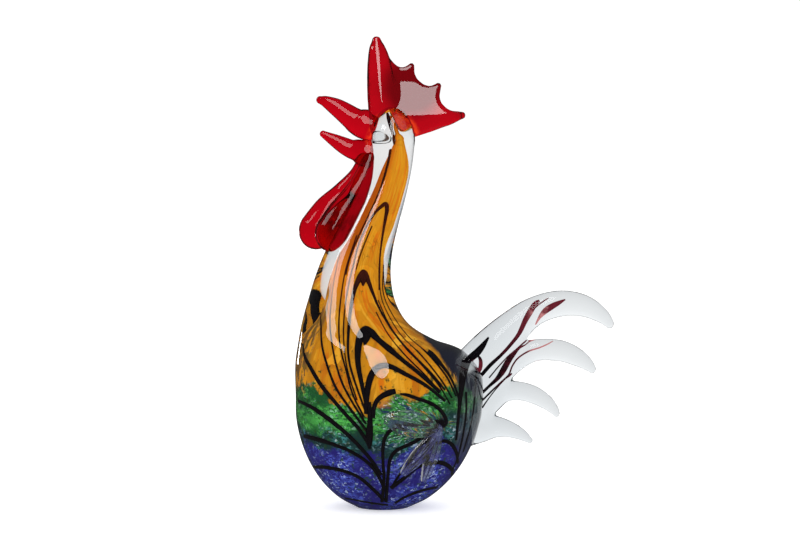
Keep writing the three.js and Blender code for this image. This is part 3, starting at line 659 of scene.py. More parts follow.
def web(name, corners, origin, half_depth, rounding):
    """A flat web of glass: its outline filled, pulled through its depth and rounded."""
    only()
    bpy.ops.mesh.primitive_circle_add(vertices=len(corners), radius=MM, fill_type="NGON")
    piece = bpy.context.object
    piece.name = name
    for vertex, (x, z) in zip(piece.data.vertices, corners):
        vertex.co = ((origin[0] + x) * MM, -half_depth, (origin[1] + z) * MM)
    bpy.ops.object.mode_set(mode="EDIT")
    bpy.ops.mesh.select_all(action="SELECT")
    bpy.ops.mesh.extrude_region_move(TRANSFORM_OT_translate={"value": (0, 2 * half_depth, 0)})
    bpy.ops.mesh.select_all(action="SELECT")
    bpy.ops.mesh.normals_make_consistent(inside=False)
    bpy.ops.object.mode_set(mode="OBJECT")
    finish_with(piece, "BEVEL", width=rounding, segments=3, limit_method="ANGLE")
    return piece


def thread(name, places, half_widths):
    """A thread of glass along places in metres, drawn out to its half widths."""
    only()
    bpy.ops.curve.primitive_nurbs_path_add()
    line = bpy.context.object
    line.name = name
    curve = line.data
    curve.splines.clear()
    spline = curve.splines.new("POLY")
    spline.points.add(len(places) - 1)
    for point, place, half in zip(spline.points, places, half_widths):
        point.co = (*place, 1)
        point.radius = half
    curve.dimensions = "3D"
    curve.twist_mode = "MINIMUM"
    curve.bevel_depth = 1.0
    curve.bevel_resolution = 1
    curve.use_fill_caps = True
    bpy.ops.object.convert(target="MESH")
    return bpy.context.object


def camera_rays():
    """The camera's place and the points of its plane for the photograph's pixels."""
    studio = bpy.context.scene.studio
    distance = studio.lens * FRAME_WIDE * MM_PER_PIXEL / SENSOR_WIDTH
    across = (FRAME_WIDE / 2 - FOOT_PIXEL[0]) * MM_PER_PIXEL
    above = (FOOT_PIXEL[1] - FRAME_HIGH / 2) * MM_PER_PIXEL
    target = Vector((across, 0, above)) * MM
    back = Vector((0, -math.cos(studio.elevation), math.sin(studio.elevation)))
    up = Vector((0, math.sin(studio.elevation), math.cos(studio.elevation)))
    eye = target + back * distance * MM

    def point_at(px, py):
        right = Vector((1, 0, 0)) * (px - FRAME_WIDE / 2)
        return target + (right + up * (FRAME_HIGH / 2 - py)) * MM_PER_PIXEL * MM

    return eye, target, point_at


def bent(ray, normal, ratio):
    """A ray bent at a surface, by the ratio of the two refractive indices."""
    cosine = -ray.dot(normal)
    inside = 1 - ratio**2 * (1 - cosine**2)
    return (ratio * ray + (ratio * cosine - math.sqrt(max(0.0, inside))) * normal).normalized()


def tree_of(piece):
    """A piece's surface, to shoot rays at."""
    corners = [v.co.copy() for v in piece.data.vertices]
    faces = [tuple(p.vertices) for p in piece.data.polygons]
    return BVHTree.FromPolygons(corners, faces)


def rounded_normal(piece, face, place):
    """The smooth normal of a piece at a place on one of its faces."""
    corners = piece.data.polygons[face].vertices
    vertices = piece.data.vertices
    weights = poly_3d_calc([vertices[i].co for i in corners], place)
    normal = Vector((0, 0, 0))
    for weight, i in zip(weights, corners):
        normal += weight * vertices[i].normal
    return normal.normalized()


def laid_on_core(seen, casing, casing_tree, core_tree):
    """Places on the core that a camera sees at pixels, through the casing's surface."""
    eye, _target, point_at = camera_rays()
    index = bpy.context.scene.glass_sizes.index
    places, halves = [], []
    for px, py, width in smooth(seen, 5 * len(seen)):
        ray = (point_at(px, py) - eye).normalized()
        place, _normal, face, _far = casing_tree.ray_cast(eye, ray)
        if place is None:
            continue
        inward = bent(ray, rounded_normal(casing, face, place), 1 / index)
        hit = core_tree.ray_cast(place + inward * JUST_INSIDE, inward)[0]
        if hit is None:
            continue
        places.append(hit)
        halves.append(0.5 * width * MM_PER_PIXEL * MM)
    return places, halves


def core_middle(rings, z):
    """Middle x, half length and half depth of the core at a height, in metres."""
    heights = [ring[2] * MM for ring in rings]
    return [np.interp(z, heights, [ring[k] * MM for ring in rings]) for k in (0, 3, 4)]


def turn_of(place, rings):
    """How far round the core a place lies from the middle of its near side, in degrees."""
    x, length, depth = core_middle(rings, place.z)
    return math.degrees(math.atan2((place.x - x) / length, -place.y / depth))


def far_side(places, rings):
    """The same line on the bird's far side, drawn together towards its middle."""
    moved = []
    for place in places:
        x, length, depth = core_middle(rings, place.z)
        turn = turn_of(place, rings)
        beyond = 180 - abs(turn) * (180 - LIMB) / LIMB
        away = math.radians(math.copysign(beyond, turn))
        moved.append(Vector((x + length * math.sin(away), -depth * math.cos(away), place.z)))
    return moved


class Shade:
    """A socket of a node tree, to reckon with like a number, a place or a colour."""

    def __init__(self, socket):
        self.socket = socket
        self.tree = socket.id_data

    def maths(self, operation, other=0.0):
        return shade(self.tree, "ShaderNodeMath", {0: self, 1: other}, operation=operation)

    def __add__(self, other):
        return self.maths("ADD", other)

    def __sub__(self, other):
        return self.maths("SUBTRACT", other)

    def __mul__(self, other):
        return self.maths("MULTIPLY", other)

    def __truediv__(self, other):
        return self.maths("DIVIDE", other)

    def __pow__(self, other):
        return self.maths("POWER", other)

    def __abs__(self):
        return self.maths("ABSOLUTE")

    def between(self, low, high):
        """How far a value has come from low to high, eased at both ends."""
        return shade(self.tree, "ShaderNodeMapRange", {0: self, 1: low, 2: high},
                     interpolation_type="SMOOTHSTEP")

    def past(self, low, high):
        """How far a length has come from low to high, given in millimetres."""
        return self.between(low * MM, high * MM)

    def parts(self):
        """The three parts of a place."""
        apart = node(self.tree, "ShaderNodeSeparateXYZ", {0: self})
        return [Shade(part) for part in apart.outputs[:3]]

    def vector(self, operation, other=(0, 0, 0), output=0):
        return shade(self.tree, "ShaderNodeVectorMath", {0: self, 1: other}, output,
                     operation=operation)

    def stretched(self, *scale):
        return shade(self.tree, "ShaderNodeMapping", {"Vector": self, "Scale": scale})

    def strayed(self, by, scale):
        """Places that stray a little from where they are."""
        wobble = shade(self.tree, "ShaderNodeTexNoise",
                       {"Vector": spot_of(self.tree), "Scale": scale, "Detail": 3.0}, "Color")
        return shade(self.tree, "ShaderNodeMix", {0: by, 4: self, 5: wobble}, 1,
                     data_type="VECTOR")

    def clouds(self, scale, detail, roughness=0.62):
        """Cloudy noise over places."""
        return shade(self.tree, "ShaderNodeTexNoise",
                     {"Vector": self, "Scale": scale, "Detail": detail,
                      "Roughness": roughness}, "Fac")

    def grains(self, scale):
        """Grains over places, by two random values that each grain has as its own."""
        colour = shade(self.tree, "ShaderNodeTexVoronoi", {"Vector": self, "Scale": scale},
                       "Color")
        apart = node(self.tree, "ShaderNodeSeparateColor", {0: colour})
        return [Shade(part) for part in apart.outputs[:2]]


def node(tree, kind, inputs=None, **settings):
    """A node with its settings and its inputs, each a value, a colour's name or a Shade."""
    made = tree.nodes.new(kind)
    for setting, value in settings.items():
        setattr(made, setting, value)
    for key, value in (inputs or {}).items():
        if isinstance(value, Shade):
            tree.links.new(value.socket, made.inputs[key])
        elif isinstance(value, str):
            made.inputs[key].default_value = tint(value)
        else:
            made.inputs[key].default_value = value
    return made


def shade(tree, kind, inputs=None, output=0, **settings):
    """One output of a new node."""
    return Shade(node(tree, kind, inputs, **settings).outputs[output])


def spot_of(tree):
    """The place on the bird, in its own metres."""
    return shade(tree, "ShaderNodeTexCoord", output="Object")


def mixed(factor, a, b):
    """Two colours mixed, each a Shade or a colour's name."""
    return shade(factor.tree, "ShaderNodeMix", {0: factor, 6: a, 7: b}, 2, data_type="RGBA")


def ramp(factor, *stops):
    """A colour ramp over stops of a position and a colour's name."""
    made = node(factor.tree, "ShaderNodeValToRGB", {0: factor})
    elements = made.color_ramp.elements
    while len(elements) < len(stops):
        elements.new(0.5)
    for element, (position, name) in zip(elements, stops):
        element.position = position
        element.color = tint(name)
    return Shade(made.outputs["Color"])


def shader_group(name, output, kind, inputs=()):
    """An empty node group with named sockets, and what it is given."""
    group = bpy.data.node_groups.new(name, "ShaderNodeTree")
    for label, socket_kind, value in inputs:
        socket = group.interface.new_socket(label, in_out="INPUT", socket_type=socket_kind)
        socket.default_value = value
    group.interface.new_socket(output, in_out="OUTPUT", socket_type=kind)
    start = group.nodes.new("NodeGroupInput")
    return group, [Shade(socket) for socket in start.outputs[:len(inputs)]]


def hand_worked_group():
    """Slow waves of hand-worked glass as a normal."""
    group, (wave_length, height) = shader_group(
        "hand_worked_waves", "Normal", "NodeSocketVector",
        (("Wave Length", "NodeSocketFloat", 60.0), ("Height", "NodeSocketFloat", 0.1)))
    waves = spot_of(group).clouds(wave_length, 1.0, 0.5)
    bump = shade(group, "ShaderNodeBump",
                 {"Strength": height, "Distance": 0.002, "Height": waves})
    node(group, "NodeGroupOutput", {0: bump})


def crushed_glass_group():
    """Grains of crushed glass: a dark and a light colour mixed grain by grain, and drawn
    out a little along the waist, with a few bright flecks."""
    group, (base, light, grain, lightness, flecks) = shader_group(
        "crushed_glass", "Color", "NodeSocketColor",
        (("Base", "NodeSocketColor", (0, 0, 0, 1)), ("Light", "NodeSocketColor", (1, 1, 1, 1)),
         ("Grain", "NodeSocketFloat", 900.0), ("Lightness", "NodeSocketFloat", 0.5),
         ("Flecks", "NodeSocketFloat", 0.5)))
    spot = spot_of(group)
    own, rare = spot.stretched(0.7, 0.7, 1.25).strayed(0.009, 190.0).grains(grain)
    cloud = spot.clouds(62.0, 4.0, 0.6).between(0.36, 0.66)
    lit = own * (cloud * 0.75 + 0.25) * lightness
    body = mixed(lit.between(0.12, 0.85), base, light)
    flecked = mixed(rare.between(0.88, 0.97) * flecks * cloud, body, "fleck")
    node(group, "NodeGroupOutput", {0: flecked})


def crushed(tree, base, light, grain, lightness, flecks):
    """Crushed glass of two colours."""
    return shade(tree, "ShaderNodeGroup",
                 {"Base": base, "Light": light, "Grain": grain, "Lightness": lightness,
                  "Flecks": flecks}, node_tree=bpy.data.node_groups["crushed_glass"])


def streaked_amber(spot, around, z, towards_tail):
    """Streaked amber with flakes and fine cracks, more orange at the neck's front."""
    streak = around.clouds(5.0, 5.0) * 0.65 + around.clouds(16.0, 4.0) * 0.35
    amber = ramp(streak, (0.42, "orange"), (0.475, "amber"), (0.53, "amber"), (0.6, "honey"))
    place = spot.stretched(1, 1, 0.45).strayed(0.02, 45.0)
    own, _rare = place.grains(FLAKE_SCALE)
    neck = z.past(105, 160)
    amber = mixed(own * (neck * -0.4 + 0.68), amber, "flake")
    amber = mixed(own.between(0.12, 0.02) * z.past(150, 100), amber, "honey")
    edges = shade(place.tree, "ShaderNodeTexVoronoi", {"Vector": place, "Scale": FLAKE_SCALE},
                  "Distance", feature="DISTANCE_TO_EDGE")
    cracked = edges.between(0.05, 0.0) * spot.clouds(50.0, 2.0).between(0.5, 0.66)
    amber = mixed(cracked * 0.55, amber, "crack")
    return mixed(towards_tail.between(0.0, -0.75) * neck * 0.75, amber, "orange")


def colour_bands(spot, x, z, amber):
    """Blue foot, teal and green waist and amber above, along lines that climb and stray.
    The green is lit up at the breast."""
    teal = crushed(spot.tree, "teal", "aqua", 700.0, 0.7, 0.6)
    blue = crushed(spot.tree, "blue", "sky", 850.0, 0.85, 0.55)
    green = crushed(spot.tree, "green", "lime", 800.0, 1.0, 0.3)
    grass = spot.stretched(0.6, 0.6, 1.8).clouds(75.0, 6.0).between(0.42, 0.6)
    at_breast = x.past(-18, -30) * z.past(68, 59) * z.past(49, 56)
    green = mixed(at_breast * grass * 0.62, green, "lime")
    off = x - LINE_LOWEST_AT * MM
    to_breast = off.maths("MINIMUM", 0.0) * -CLIMB_TO_BREAST
    climb = off.maths("MAXIMUM", 0.0) * CLIMB_TO_TAIL + to_breast
    level = z + (spot.clouds(80.0, 6.0) * 0.036 - 0.018) - climb
    blue_level = level + climb * 0.6
    green_level = level + to_breast * 0.8
    whole = mixed(blue_level.past(TEAL_LINE - 2, TEAL_LINE + 2), blue, teal)
    whole = mixed(green_level.past(GREEN_LINE - 4, GREEN_LINE + 4), whole, green)
    return mixed(level.past(AMBER_LINE - 1.5, AMBER_LINE + 1.5), whole, amber)


def limb_shaded_and_specked(spot, around, z, towards_tail, whole):
    """Painted shade, in dark patches along the breast's edge where the core turns side-on to
    the camera, and dark specks all over.
    """
    limb_shade = ramp(around.stretched(1, 1, 3).clouds(9.0, 4.0), (0.4, "smoke"),
                    (0.455, "green"), (0.5, "black"), (0.525, "veil"), (0.56, "amber"))
    # Painted shade at the breast's edge, where the core turns side-on to the camera
    rim = towards_tail.between(-0.9, -0.965) * z.past(66, 80) * z.past(142, 128)
    whole = mixed(rim * 0.7, whole, limb_shade)
    rarity = z.past(120, 78) * -0.1 + 0.68
    specks = (spot.clouds(330.0, 5.0) - rarity).between(0.0, 0.05)
    return mixed(specks * 0.85, whole, "moss")


def drawn_to_wing(spot, x, z, whole):
    """Streaks of all the colours that run into the wing's hub, with painted highlights among
    them and a black heart.
    """
    aside = x - STREAKS_MEET[0] * MM
    above = z - STREAKS_MEET[1] * MM
    far = (aside * aside + above * above).maths("SQRT")

    def rays(scale, detail, drawn_out):
        """Noise drawn out along the lines that run into the hub."""
        way = {0: aside / far, 1: far * drawn_out, 2: above / far}
        return shade(spot.tree, "ShaderNodeCombineXYZ", way).clouds(scale, detail)

    near_hub = (far + (spot.clouds(120.0, 3.0) * 0.016 - 0.008)).past(41, 30)
    pulled = ramp(rays(9.0, 6.0, 7.0), (0.35, "black"), (0.42, "blue"), (0.46, "teal"),
                  (0.5, "green"), (0.53, "lime"), (0.56, "teal"), (0.6, "black"),
                  (0.65, "amber"))
    # Painted highlight: pale streaks of light along the upper fan's ridges
    pulled = mixed(rays(30.0, 2.0, 14.0).between(0.6, 0.66) * 0.8, pulled, "painted pale highlight")
    upper_fan = (aside * -0.42 + 0.004 - abs(above + aside * 0.12)).past(-3, 3)
    whole = mixed(near_hub * upper_fan * 0.85, whole, pulled)
    # The lower fan's ramp holds a painted highlight, pale blue, among its blues
    pulled = ramp(rays(13.0, 5.0, 4.5), (0.41, "black"), (0.46, "blue"), (0.535, "blue"),
                  (0.55, "pale sky"), (0.565, "blue"), (0.6, "black"))
    down = aside * -0.47 + above * -0.88
    lower_fan = (down * 0.24 + 0.001 - abs(aside * 0.88 + above * -0.47)).past(-2, 2)
    whole = mixed(near_hub * lower_fan, whole, pulled)
    return mixed(far.past(5, 1.5), whole, "black")


def smoky_at_tail(spot, around, whole):
    """A dark saddle over the back, a grey film beside the tail and bare glass at its root."""
    x, y, z = spot.parts()
    slope = z + x + (around.clouds(60.0, 4.0) * 0.012 - 0.006)
    along = x + (spot.clouds(45.0, 5.0) * 0.016 - 0.008) - y * y * SADDLE_TAPER
    whole = mixed(slope.past(120.5, 123.5) * along.past(19.5, 24), whole, "smoke")
    film = ramp(around.clouds(22.0, 4.0), (0.4, "smoke"), (0.5, "veil"), (0.62, "mist"))
    film = mixed(z.past(60, 40) * 0.6, film, "dusk")
    beside = x.past(39.5, 44.5) * z.past(24, 36) * (z.past(50, 75) * -0.35 + 0.85)
    whole = mixed(beside, whole, film)
    root = x.past(44.5, 46.2) * z.past(81, 83.5) * abs(y).past(17, 13)
    return mixed(root * 0.9, whole, "uncoloured")


def core_colour_group():
    """The core's colour: streaked amber over crushed green, teal and blue, drawn towards
    the wing's hub, and smoky where the threads meet at the tail."""
    group, _given = shader_group("core_colour", "Color", "NodeSocketColor")
    spot = spot_of(group)
    x, _y, z = spot.parts()
    around = shade(group, "ShaderNodeAttribute", output="Vector", attribute_name="around")
    _facing, towards_tail, _up = around.parts()
    amber = streaked_amber(spot, around, z, towards_tail)
    whole = colour_bands(spot, x, z, amber)
    whole = limb_shaded_and_specked(spot, around, z, towards_tail, whole)
    whole = drawn_to_wing(spot, x, z, whole)
    whole = smoky_at_tail(spot, around, whole)
    node(group, "NodeGroupOutput", {0: whole})


def bare_material(name):
    material = bpy.data.materials.new(name)
    material.use_nodes = True
    material.node_tree.nodes.clear()
    return material


def glass_material(name, body_colour, edge, shadow, wave_length, wave_height, index):
    """Glass that bends light, lets the studio's light reach what lies inside it, and
    has painted shade at its edges, where it turns away. Its body colour is made by a function."""
    tree = bare_material(name).node_tree
    waves = shade(tree, "ShaderNodeGroup", {"Wave Length": wave_length, "Height": wave_height},
                  node_tree=bpy.data.node_groups["hand_worked_waves"])
    facing = shade(tree, "ShaderNodeLayerWeight", {"Blend": 0.5}, "Facing")
    # Painted shade: the edge colour darkens the glass where it turns away from the view
    colour = mixed(facing.between(0.5, 0.97), body_colour(tree), edge)
    glass = shade(tree, "ShaderNodeBsdfPrincipled",
                  {"Base Color": colour, "Roughness": 0.0, "IOR": index,
                   "Transmission Weight": 1.0, "Normal": waves})
    clear = shade(tree, "ShaderNodeBsdfTransparent", {"Color": shadow})
    rays = node(tree, "ShaderNodeLightPath").outputs
    soft = Shade(rays["Is Shadow Ray"]).maths("MAXIMUM", Shade(rays["Is Diffuse Ray"]))
    both = shade(tree, "ShaderNodeMixShader", {0: soft, 1: glass, 2: clear})
    node(tree, "ShaderNodeOutputMaterial", {"Surface": both})


def clear_body(tree):
    """Clear glass with faint cords of thicker tone, and a shaded streak down the nape."""
    spot = spot_of(tree)
    x, _y, z = spot.parts()
    cords = spot.clouds(34.0, 2.0, 0.5).between(0.45, 0.75)
    whole = mixed(cords * 0.3, "clear", "cord in clear")
    off_line = abs(x + z * -NAPE_LEAN + NAPE_SET_BACK * MM)
    streak = off_line.past(1.7, 0.6) * z.past(148, 160) * z.past(200, 185)
    return mixed(streak * 0.75, whole, "shade on nape")


def tail_body(tree):
    """Clear glass, greyer in the thick root of the tail than in its feathers."""
    x, _y, _z = spot_of(tree).parts()
    return mixed(x.past(110, 70) * 0.32 + 0.37, "clear", "thick clear")


def red_body(tree):
    """Red glass: thin and orange round the head, deep in the middle of the comb's blade
    and inside the near wattle, plain red elsewhere."""
    spot = spot_of(tree)

    def near(place, squash, inner, outer):
        """Within reach of a place in millimetres, by a distance squashed along each axis."""
        way = spot.vector("SUBTRACT", Vector(place) * MM).vector("MULTIPLY", squash)
        return way.vector("LENGTH", output="Value").past(outer, inner)

    marks = spot.clouds(120.0, 4.0, 0.65)
    colour = mixed(spot.clouds(70.0, 3.0, 0.6).between(0.4, 0.7) * 0.3, "red", "deep_red")
    colour = mixed(near((18, 0, 259), (1, 0, 1), 13, 24), colour, "deep_red")
    near_wattle = near((-30, -11, 176), (1.15, 1, 0.7), 6, 11.5)
    colour = mixed(near_wattle * marks.between(0.36, 0.56), colour, "dark red")
    head = near((6.3, 0, 226), (1, 1, 0.9), 15.5, 18.7)
    return mixed(head * marks.between(0.38, 0.5), colour, "thin_red")


def eye_body(tree):
    """Clear glass with a thin line of painted shade round it, where its rim turns away."""
    x, _y, z = spot_of(tree).parts()
    across, up = (abs((part - middle * MM) / (half * MM)) ** 3.0
                  for part, middle, half in zip((x, z), EYE_MIDDLE, EYE_RIM_SHADE_HALVES))
    return mixed((across + up).between(0.58, 0.72), "clear", "eye rim shade")


def core_body(tree):
    return shade(tree, "ShaderNodeGroup", node_tree=bpy.data.node_groups["core_colour"])


def thread_body(tree):
    """Black, and brown where the thread is drawn thin up the neck."""
    spot = spot_of(tree)
    _x, _y, z = spot.parts()
    drawn = spot.clouds(55.0, 3.0, 0.5).between(0.3, 0.55)
    return mixed(z.past(110, 165) * drawn, "black", "brown")


def tail_thread_body(tree):
    """Black at the tail's root, burgundy where the thread runs out, and rose at its end."""
    spot = spot_of(tree)
    x, _y, z = spot.parts()
    stray = spot.clouds(160.0, 3.0, 0.5) * 0.03 - 0.015
    colour = mixed((x + stray).past(66, 94), "black", "burgundy")
    colour = mixed((z + stray).past(123.5, 115.5) * x.past(88, 92.5) * 0.8, colour, "rose")
    far = spot.vector("DISTANCE", Vector(RED_BEND) * MM, "Value")
    return mixed(far.past(6, 3), colour, "burgundy")


def inner_material(name, body_colour, roughness):
    """Glass that lies inside other glass, with no gloss of its own."""
    tree = bare_material(name).node_tree
    glass = shade(tree, "ShaderNodeBsdfPrincipled",
                  {"Base Color": body_colour(tree), "Roughness": roughness,
                   "Specular IOR Level": 0.0})
    node(tree, "ShaderNodeOutputMaterial", {"Surface": glass})


def dressed(piece, material, slot, *nodes):
    """Gives a finished piece its material and its body, and hides the nodes it stands for.
    The slot is not used.
    """
    piece.data.materials.clear()
    piece.data.materials.append(bpy.data.materials[material])
    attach(piece, "root")
    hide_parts(*nodes)


class ROOSTER_OT_finishes(bpy.types.Operator):
    """Mix the clear, red, coloured and black glass"""

    bl_idname = "rooster.finishes"
    bl_label = "Glass Finishes"

    def execute(self, context):
        hand_worked_group()
        crushed_glass_group()
        core_colour_group()
        index = context.scene.glass_sizes.index
        # Each glass: name, body colour, colour of its painted edge shade, shadow tint, wave length, wave
        # height, index
        glasses = (
            ("hot_clear", clear_body, "clear_edge_shade", "clear", 45.0, 0.07, index),
            ("pulled_clear", tail_body, "tail edge shade", "clear", 30.0, 0.05, 1.22),
            ("eye_clear", eye_body, "clear_edge_shade", "clear", 45.0, 0.05, index),
            ("drawn_red", red_body, "red_edge_shade", "red", 60.0, 0.07, 1.32),
            ("hot_red", red_body, "red_edge_shade", "red", 60.0, 0.07, index),
        )
        for glass in glasses:
            glass_material(*glass)
        inner_material("coloured_skin", core_body, 0.6)
        inner_material("black_thread", thread_body, 0.35)
        inner_material("burgundy_thread", tail_thread_body, 0.3)
        return {"FINISHED"}


class ROOSTER_OT_casing(bpy.types.Operator):
    """Make the clear casing of foot, body, neck and head"""

    bl_idname = "rooster.casing"
    bl_label = "Clear Casing"

    def execute(self, context):
        piece = loft("casing", body_rings(150), BODY_SIDES)
        smooth_shaded(piece, CASING_CREASE)
        dressed(piece, "hot_clear", "clear_glass", "clear_casing")
        swollen_copy(piece, context.scene.glass_sizes.seam, "seat_cutter")
        return {"FINISHED"}


def marked_around(piece, rings):
    """Marks each corner with its place round the core, so that streaks run up it."""
    values = []
    for vertex in piece.data.vertices:
        turn = math.radians(turn_of(vertex.co, rings))
        values.extend((math.cos(turn), math.sin(turn), vertex.co.z * AROUND_RISE))
    attribute = piece.data.attributes.new("around", "FLOAT_VECTOR", "POINT")
    attribute.data.foreach_set("vector", values)


def cut_level(piece, height, keep_below):
    """Cuts a piece level at a height in millimetres and caps it."""
    only(piece)
    bpy.ops.object.mode_set(mode="EDIT")
    bpy.ops.mesh.select_all(action="SELECT")
    bpy.ops.mesh.bisect(plane_co=(0, 0, height * MM), plane_no=(0, 0, 1), use_fill=True,
                        clear_inner=not keep_below, clear_outer=keep_below)
    bpy.ops.object.mode_set(mode="OBJECT")


def inner_rings(count, deeper):
    """Rings inside the core, down from where the neck leaves them room."""
    return [ring for ring in core_rings(count, deeper) if ring[3] > THINNEST_HEART]


class ROOSTER_OT_core(bpy.types.Operator):
    """Make the amber, green and blue skins of the core and the heart inside them"""

    bl_idname = "rooster.core"
    bl_label = "Coloured Core"

    def execute(self, context):
        skin = context.scene.glass_sizes.skin / MM
        rings = core_rings(CORE_STEPS)
        whole = loft("core_guide", rings + list(CORE_TIP_RINGS), BODY_SIDES)
        hollow = inner_rings(70, skin)
        below = (*hollow[0][:2], -4.0, *hollow[0][3:])
        hollow_cutter = loft("hollow_cutter", [below] + hollow[1:], 64)
        bands = (
            ("amber_skin", "amber_glass", "amber_layer", AMBER_FOOT, None),
            ("green_skin", "green_glass", "green_layer", GREEN_FOOT, AMBER_FOOT),
            ("blue_skin", "blue_glass", "blue_layer", None, GREEN_FOOT),
        )
        for name, slot, layer, low, high in bands:
            band = swollen_copy(whole, 0.0, name)
            band.hide_render = False
            if low is not None:
                cut_level(band, low, keep_below=False)
            if high is not None:
                cut_level(band, high, keep_below=True)
            cut_by(band, hollow_cutter)
            smooth_shaded(band, BIT_CREASE)
            marked_around(band, rings)
            dressed(band, "coloured_skin", slot, layer)
        removed(hollow_cutter)
        heart = loft("heart", inner_rings(60, skin + HEART_PLAY), 48)
        smooth_shaded(heart)
        dressed(heart, "hot_clear", "clear_glass", "heart_gather")
        return {"FINISHED"}


class ROOSTER_OT_combed_threads(bpy.types.Operator):
    """Lay the black combed threads on the core, near side and far side"""

    bl_idname = "rooster.combed_threads"
    bl_label = "Combed Threads"

    def execute(self, context):
        casing = bpy.data.objects["casing"]
        guide = bpy.data.objects["core_guide"]
        core_tree, casing_tree = tree_of(guide), tree_of(casing)
        rings = core_rings(CORE_STEPS)
        lines = []
        for i, seen in enumerate(SEEN_THREADS):
            places, halves = laid_on_core(seen, casing, casing_tree, core_tree)
            if len(places) < 3:
                raise RuntimeError(f"combed thread {i} misses the core")
            back = far_side(places, rings)
            first, last = (abs(turn_of(place, rings)) for place in (places[0], places[-1]))
            if max(first, last) > 0.8 * LIMB:
                if first > last:
                    places, halves, back = places[::-1], halves[::-1], back[::-1]
                routes = [(places + back[::-1], halves + halves[::-1])]
            else:
                routes = [(places, halves), (back, halves)]
            for route, widths in routes:
                on_core = [core_tree.find_nearest(place)[0] for place in route]
                lines.append(thread("thread", on_core, widths))
        for side in (-HEAD_THREAD_SIDE, HEAD_THREAD_SIDE):
            rows = smooth(HEAD_THREAD, 20)
            places = [Vector((x, side, z)) * MM for x, z, _half in rows]
            lines.append(thread("thread", places, [half * MM for _x, _z, half in rows]))
        piece = joined(lines, "combed_threads")
        smooth_shaded(piece)
        dressed(piece, "black_thread", "black_glass", "combed_trail")
        removed(guide)
        return {"FINISHED"}


class ROOSTER_OT_comb(bpy.types.Operator):
    """Pull the red comb and seat it on the crown"""

    bl_idname = "rooster.comb"
    bl_label = "Comb"

    def execute(self, context):
        depth = context.scene.glass_sizes.comb_depth
        seam = context.scene.glass_sizes.seam
        blade = melted(web("comb_blade", COMB_BLADE, CROWN, depth, 0.0022), *BLADE_MELT)
        for vertex in blade.data.vertices:
            thickness = BLADE_AT_CROWN - BLADE_TAPER * (vertex.co.z / MM - CROWN[1])
            vertex.co.y *= min(BLADE_THICKEST, max(BLADE_THINNEST, thickness))
        parts = [blade]
        for rows, flatness in COMB_BITS:
            rings = rod_rings(rows, CROWN, 1, lambda half: flatness * half, 26)
            parts.append(loft("comb_bit", rings, 32))
        piece = melted(joined(parts, "comb_glass"), *COMB_MELT)
        cut_by(piece, bpy.data.objects["seat_cutter"])
        root = melted(web("comb_root", COMB_ROOT, CROWN, depth, 0.0012), *COMB_ROOT_MELT)
        finish_with(piece, "BOOLEAN", operation="UNION", solver="MANIFOLD", object=root)
        smooth_shaded(piece, BIT_CREASE)
        dressed(piece, "hot_red", "red_glass", "comb")
        cutter = swollen_copy(piece, seam, "comb_cutter")
        casing = bpy.data.objects["casing"]
        cut_by(casing, cutter, "MANIFOLD")
        smooth_shaded(casing, CASING_CREASE)
        removed(root, cutter)
        return {"FINISHED"}


class ROOSTER_OT_face(bpy.types.Operator):
    """Pull the two beaks and the two wattles"""

    bl_idname = "rooster.face"
    bl_label = "Beaks and Wattles"

    def execute(self, context):
        apart = context.scene.glass_sizes.wattle_apart / MM
        seam = context.scene.glass_sizes.seam
        comb = bpy.data.objects["comb_glass"]
        cutters = [bpy.data.objects["seat_cutter"], swollen_copy(comb, seam, "comb_cutter")]
        bits = (
            ("upper_beak", UPPER_BEAK, BEAK_FLATNESS, 40, 0, None),
            ("lower_beak", LOWER_BEAK, BEAK_FLATNESS, 40, 0, None),
            ("left_wattle", LEFT_WATTLE, WATTLE_FLATNESS, 44, -1, WATTLE_BOTTOM),
            ("right_wattle", RIGHT_WATTLE, WATTLE_FLATNESS, 44, 1, WATTLE_BOTTOM),
        )
        for name, rows, flatness, count, side, end in bits:
            hang = lambda share: side * (0.5 + 0.5 * min(1.0, 2 * share)) * apart
            rings = rod_rings(rows, FACE, -1, lambda half: flatness * half, count, hang, end)
            piece = loft(name + "_glass", rings, 48)
            for cutter in cutters:
                cut_by(piece, cutter)
            smooth_shaded(piece, BIT_CREASE)
            dressed(piece, "drawn_red", "red_glass", name)
            cutters.append(swollen_copy(piece, seam, name + "_cutter"))
        removed(*cutters[1:])
        return {"FINISHED"}


class ROOSTER_OT_eyes(bpy.types.Operator):
    """Drop a clear dot on each cheek"""

    bl_idname = "rooster.eyes"
    bl_label = "Eyes"

    def execute(self, context):
        seat = bpy.data.objects["seat_cutter"]
        pad = swollen_copy(seat, context.scene.glass_sizes.eye_standout, "eye_pad")
        for name, side in (("left_eye", -1), ("right_eye", 1)):
            piece = web(name + "_dot", EYE_OUTLINE, (0, 0), 0.006, 0.0008)
            for vertex in piece.data.vertices:
                vertex.co.y += side * CHEEK_OUT * MM
            finish_with(piece, "BOOLEAN", operation="INTERSECT", solver="EXACT", object=pad)
            cut_by(piece, seat)
            smooth_shaded(piece, BIT_CREASE)
            dressed(piece, "eye_clear", "clear_glass", name)
        removed(pad)
        return {"FINISHED"}


def on_flank(tree, x, z, side):
    """The place on the casing's flank that is seen at x and z from the side, in mm."""
    start = Vector((x * MM, side * 0.2, z * MM))
    place = tree.ray_cast(start, Vector((0, -side, 0)))[0]
    if place is None:
        raise RuntimeError(f"nothing of the casing at {x}, {z}")
    return place / MM


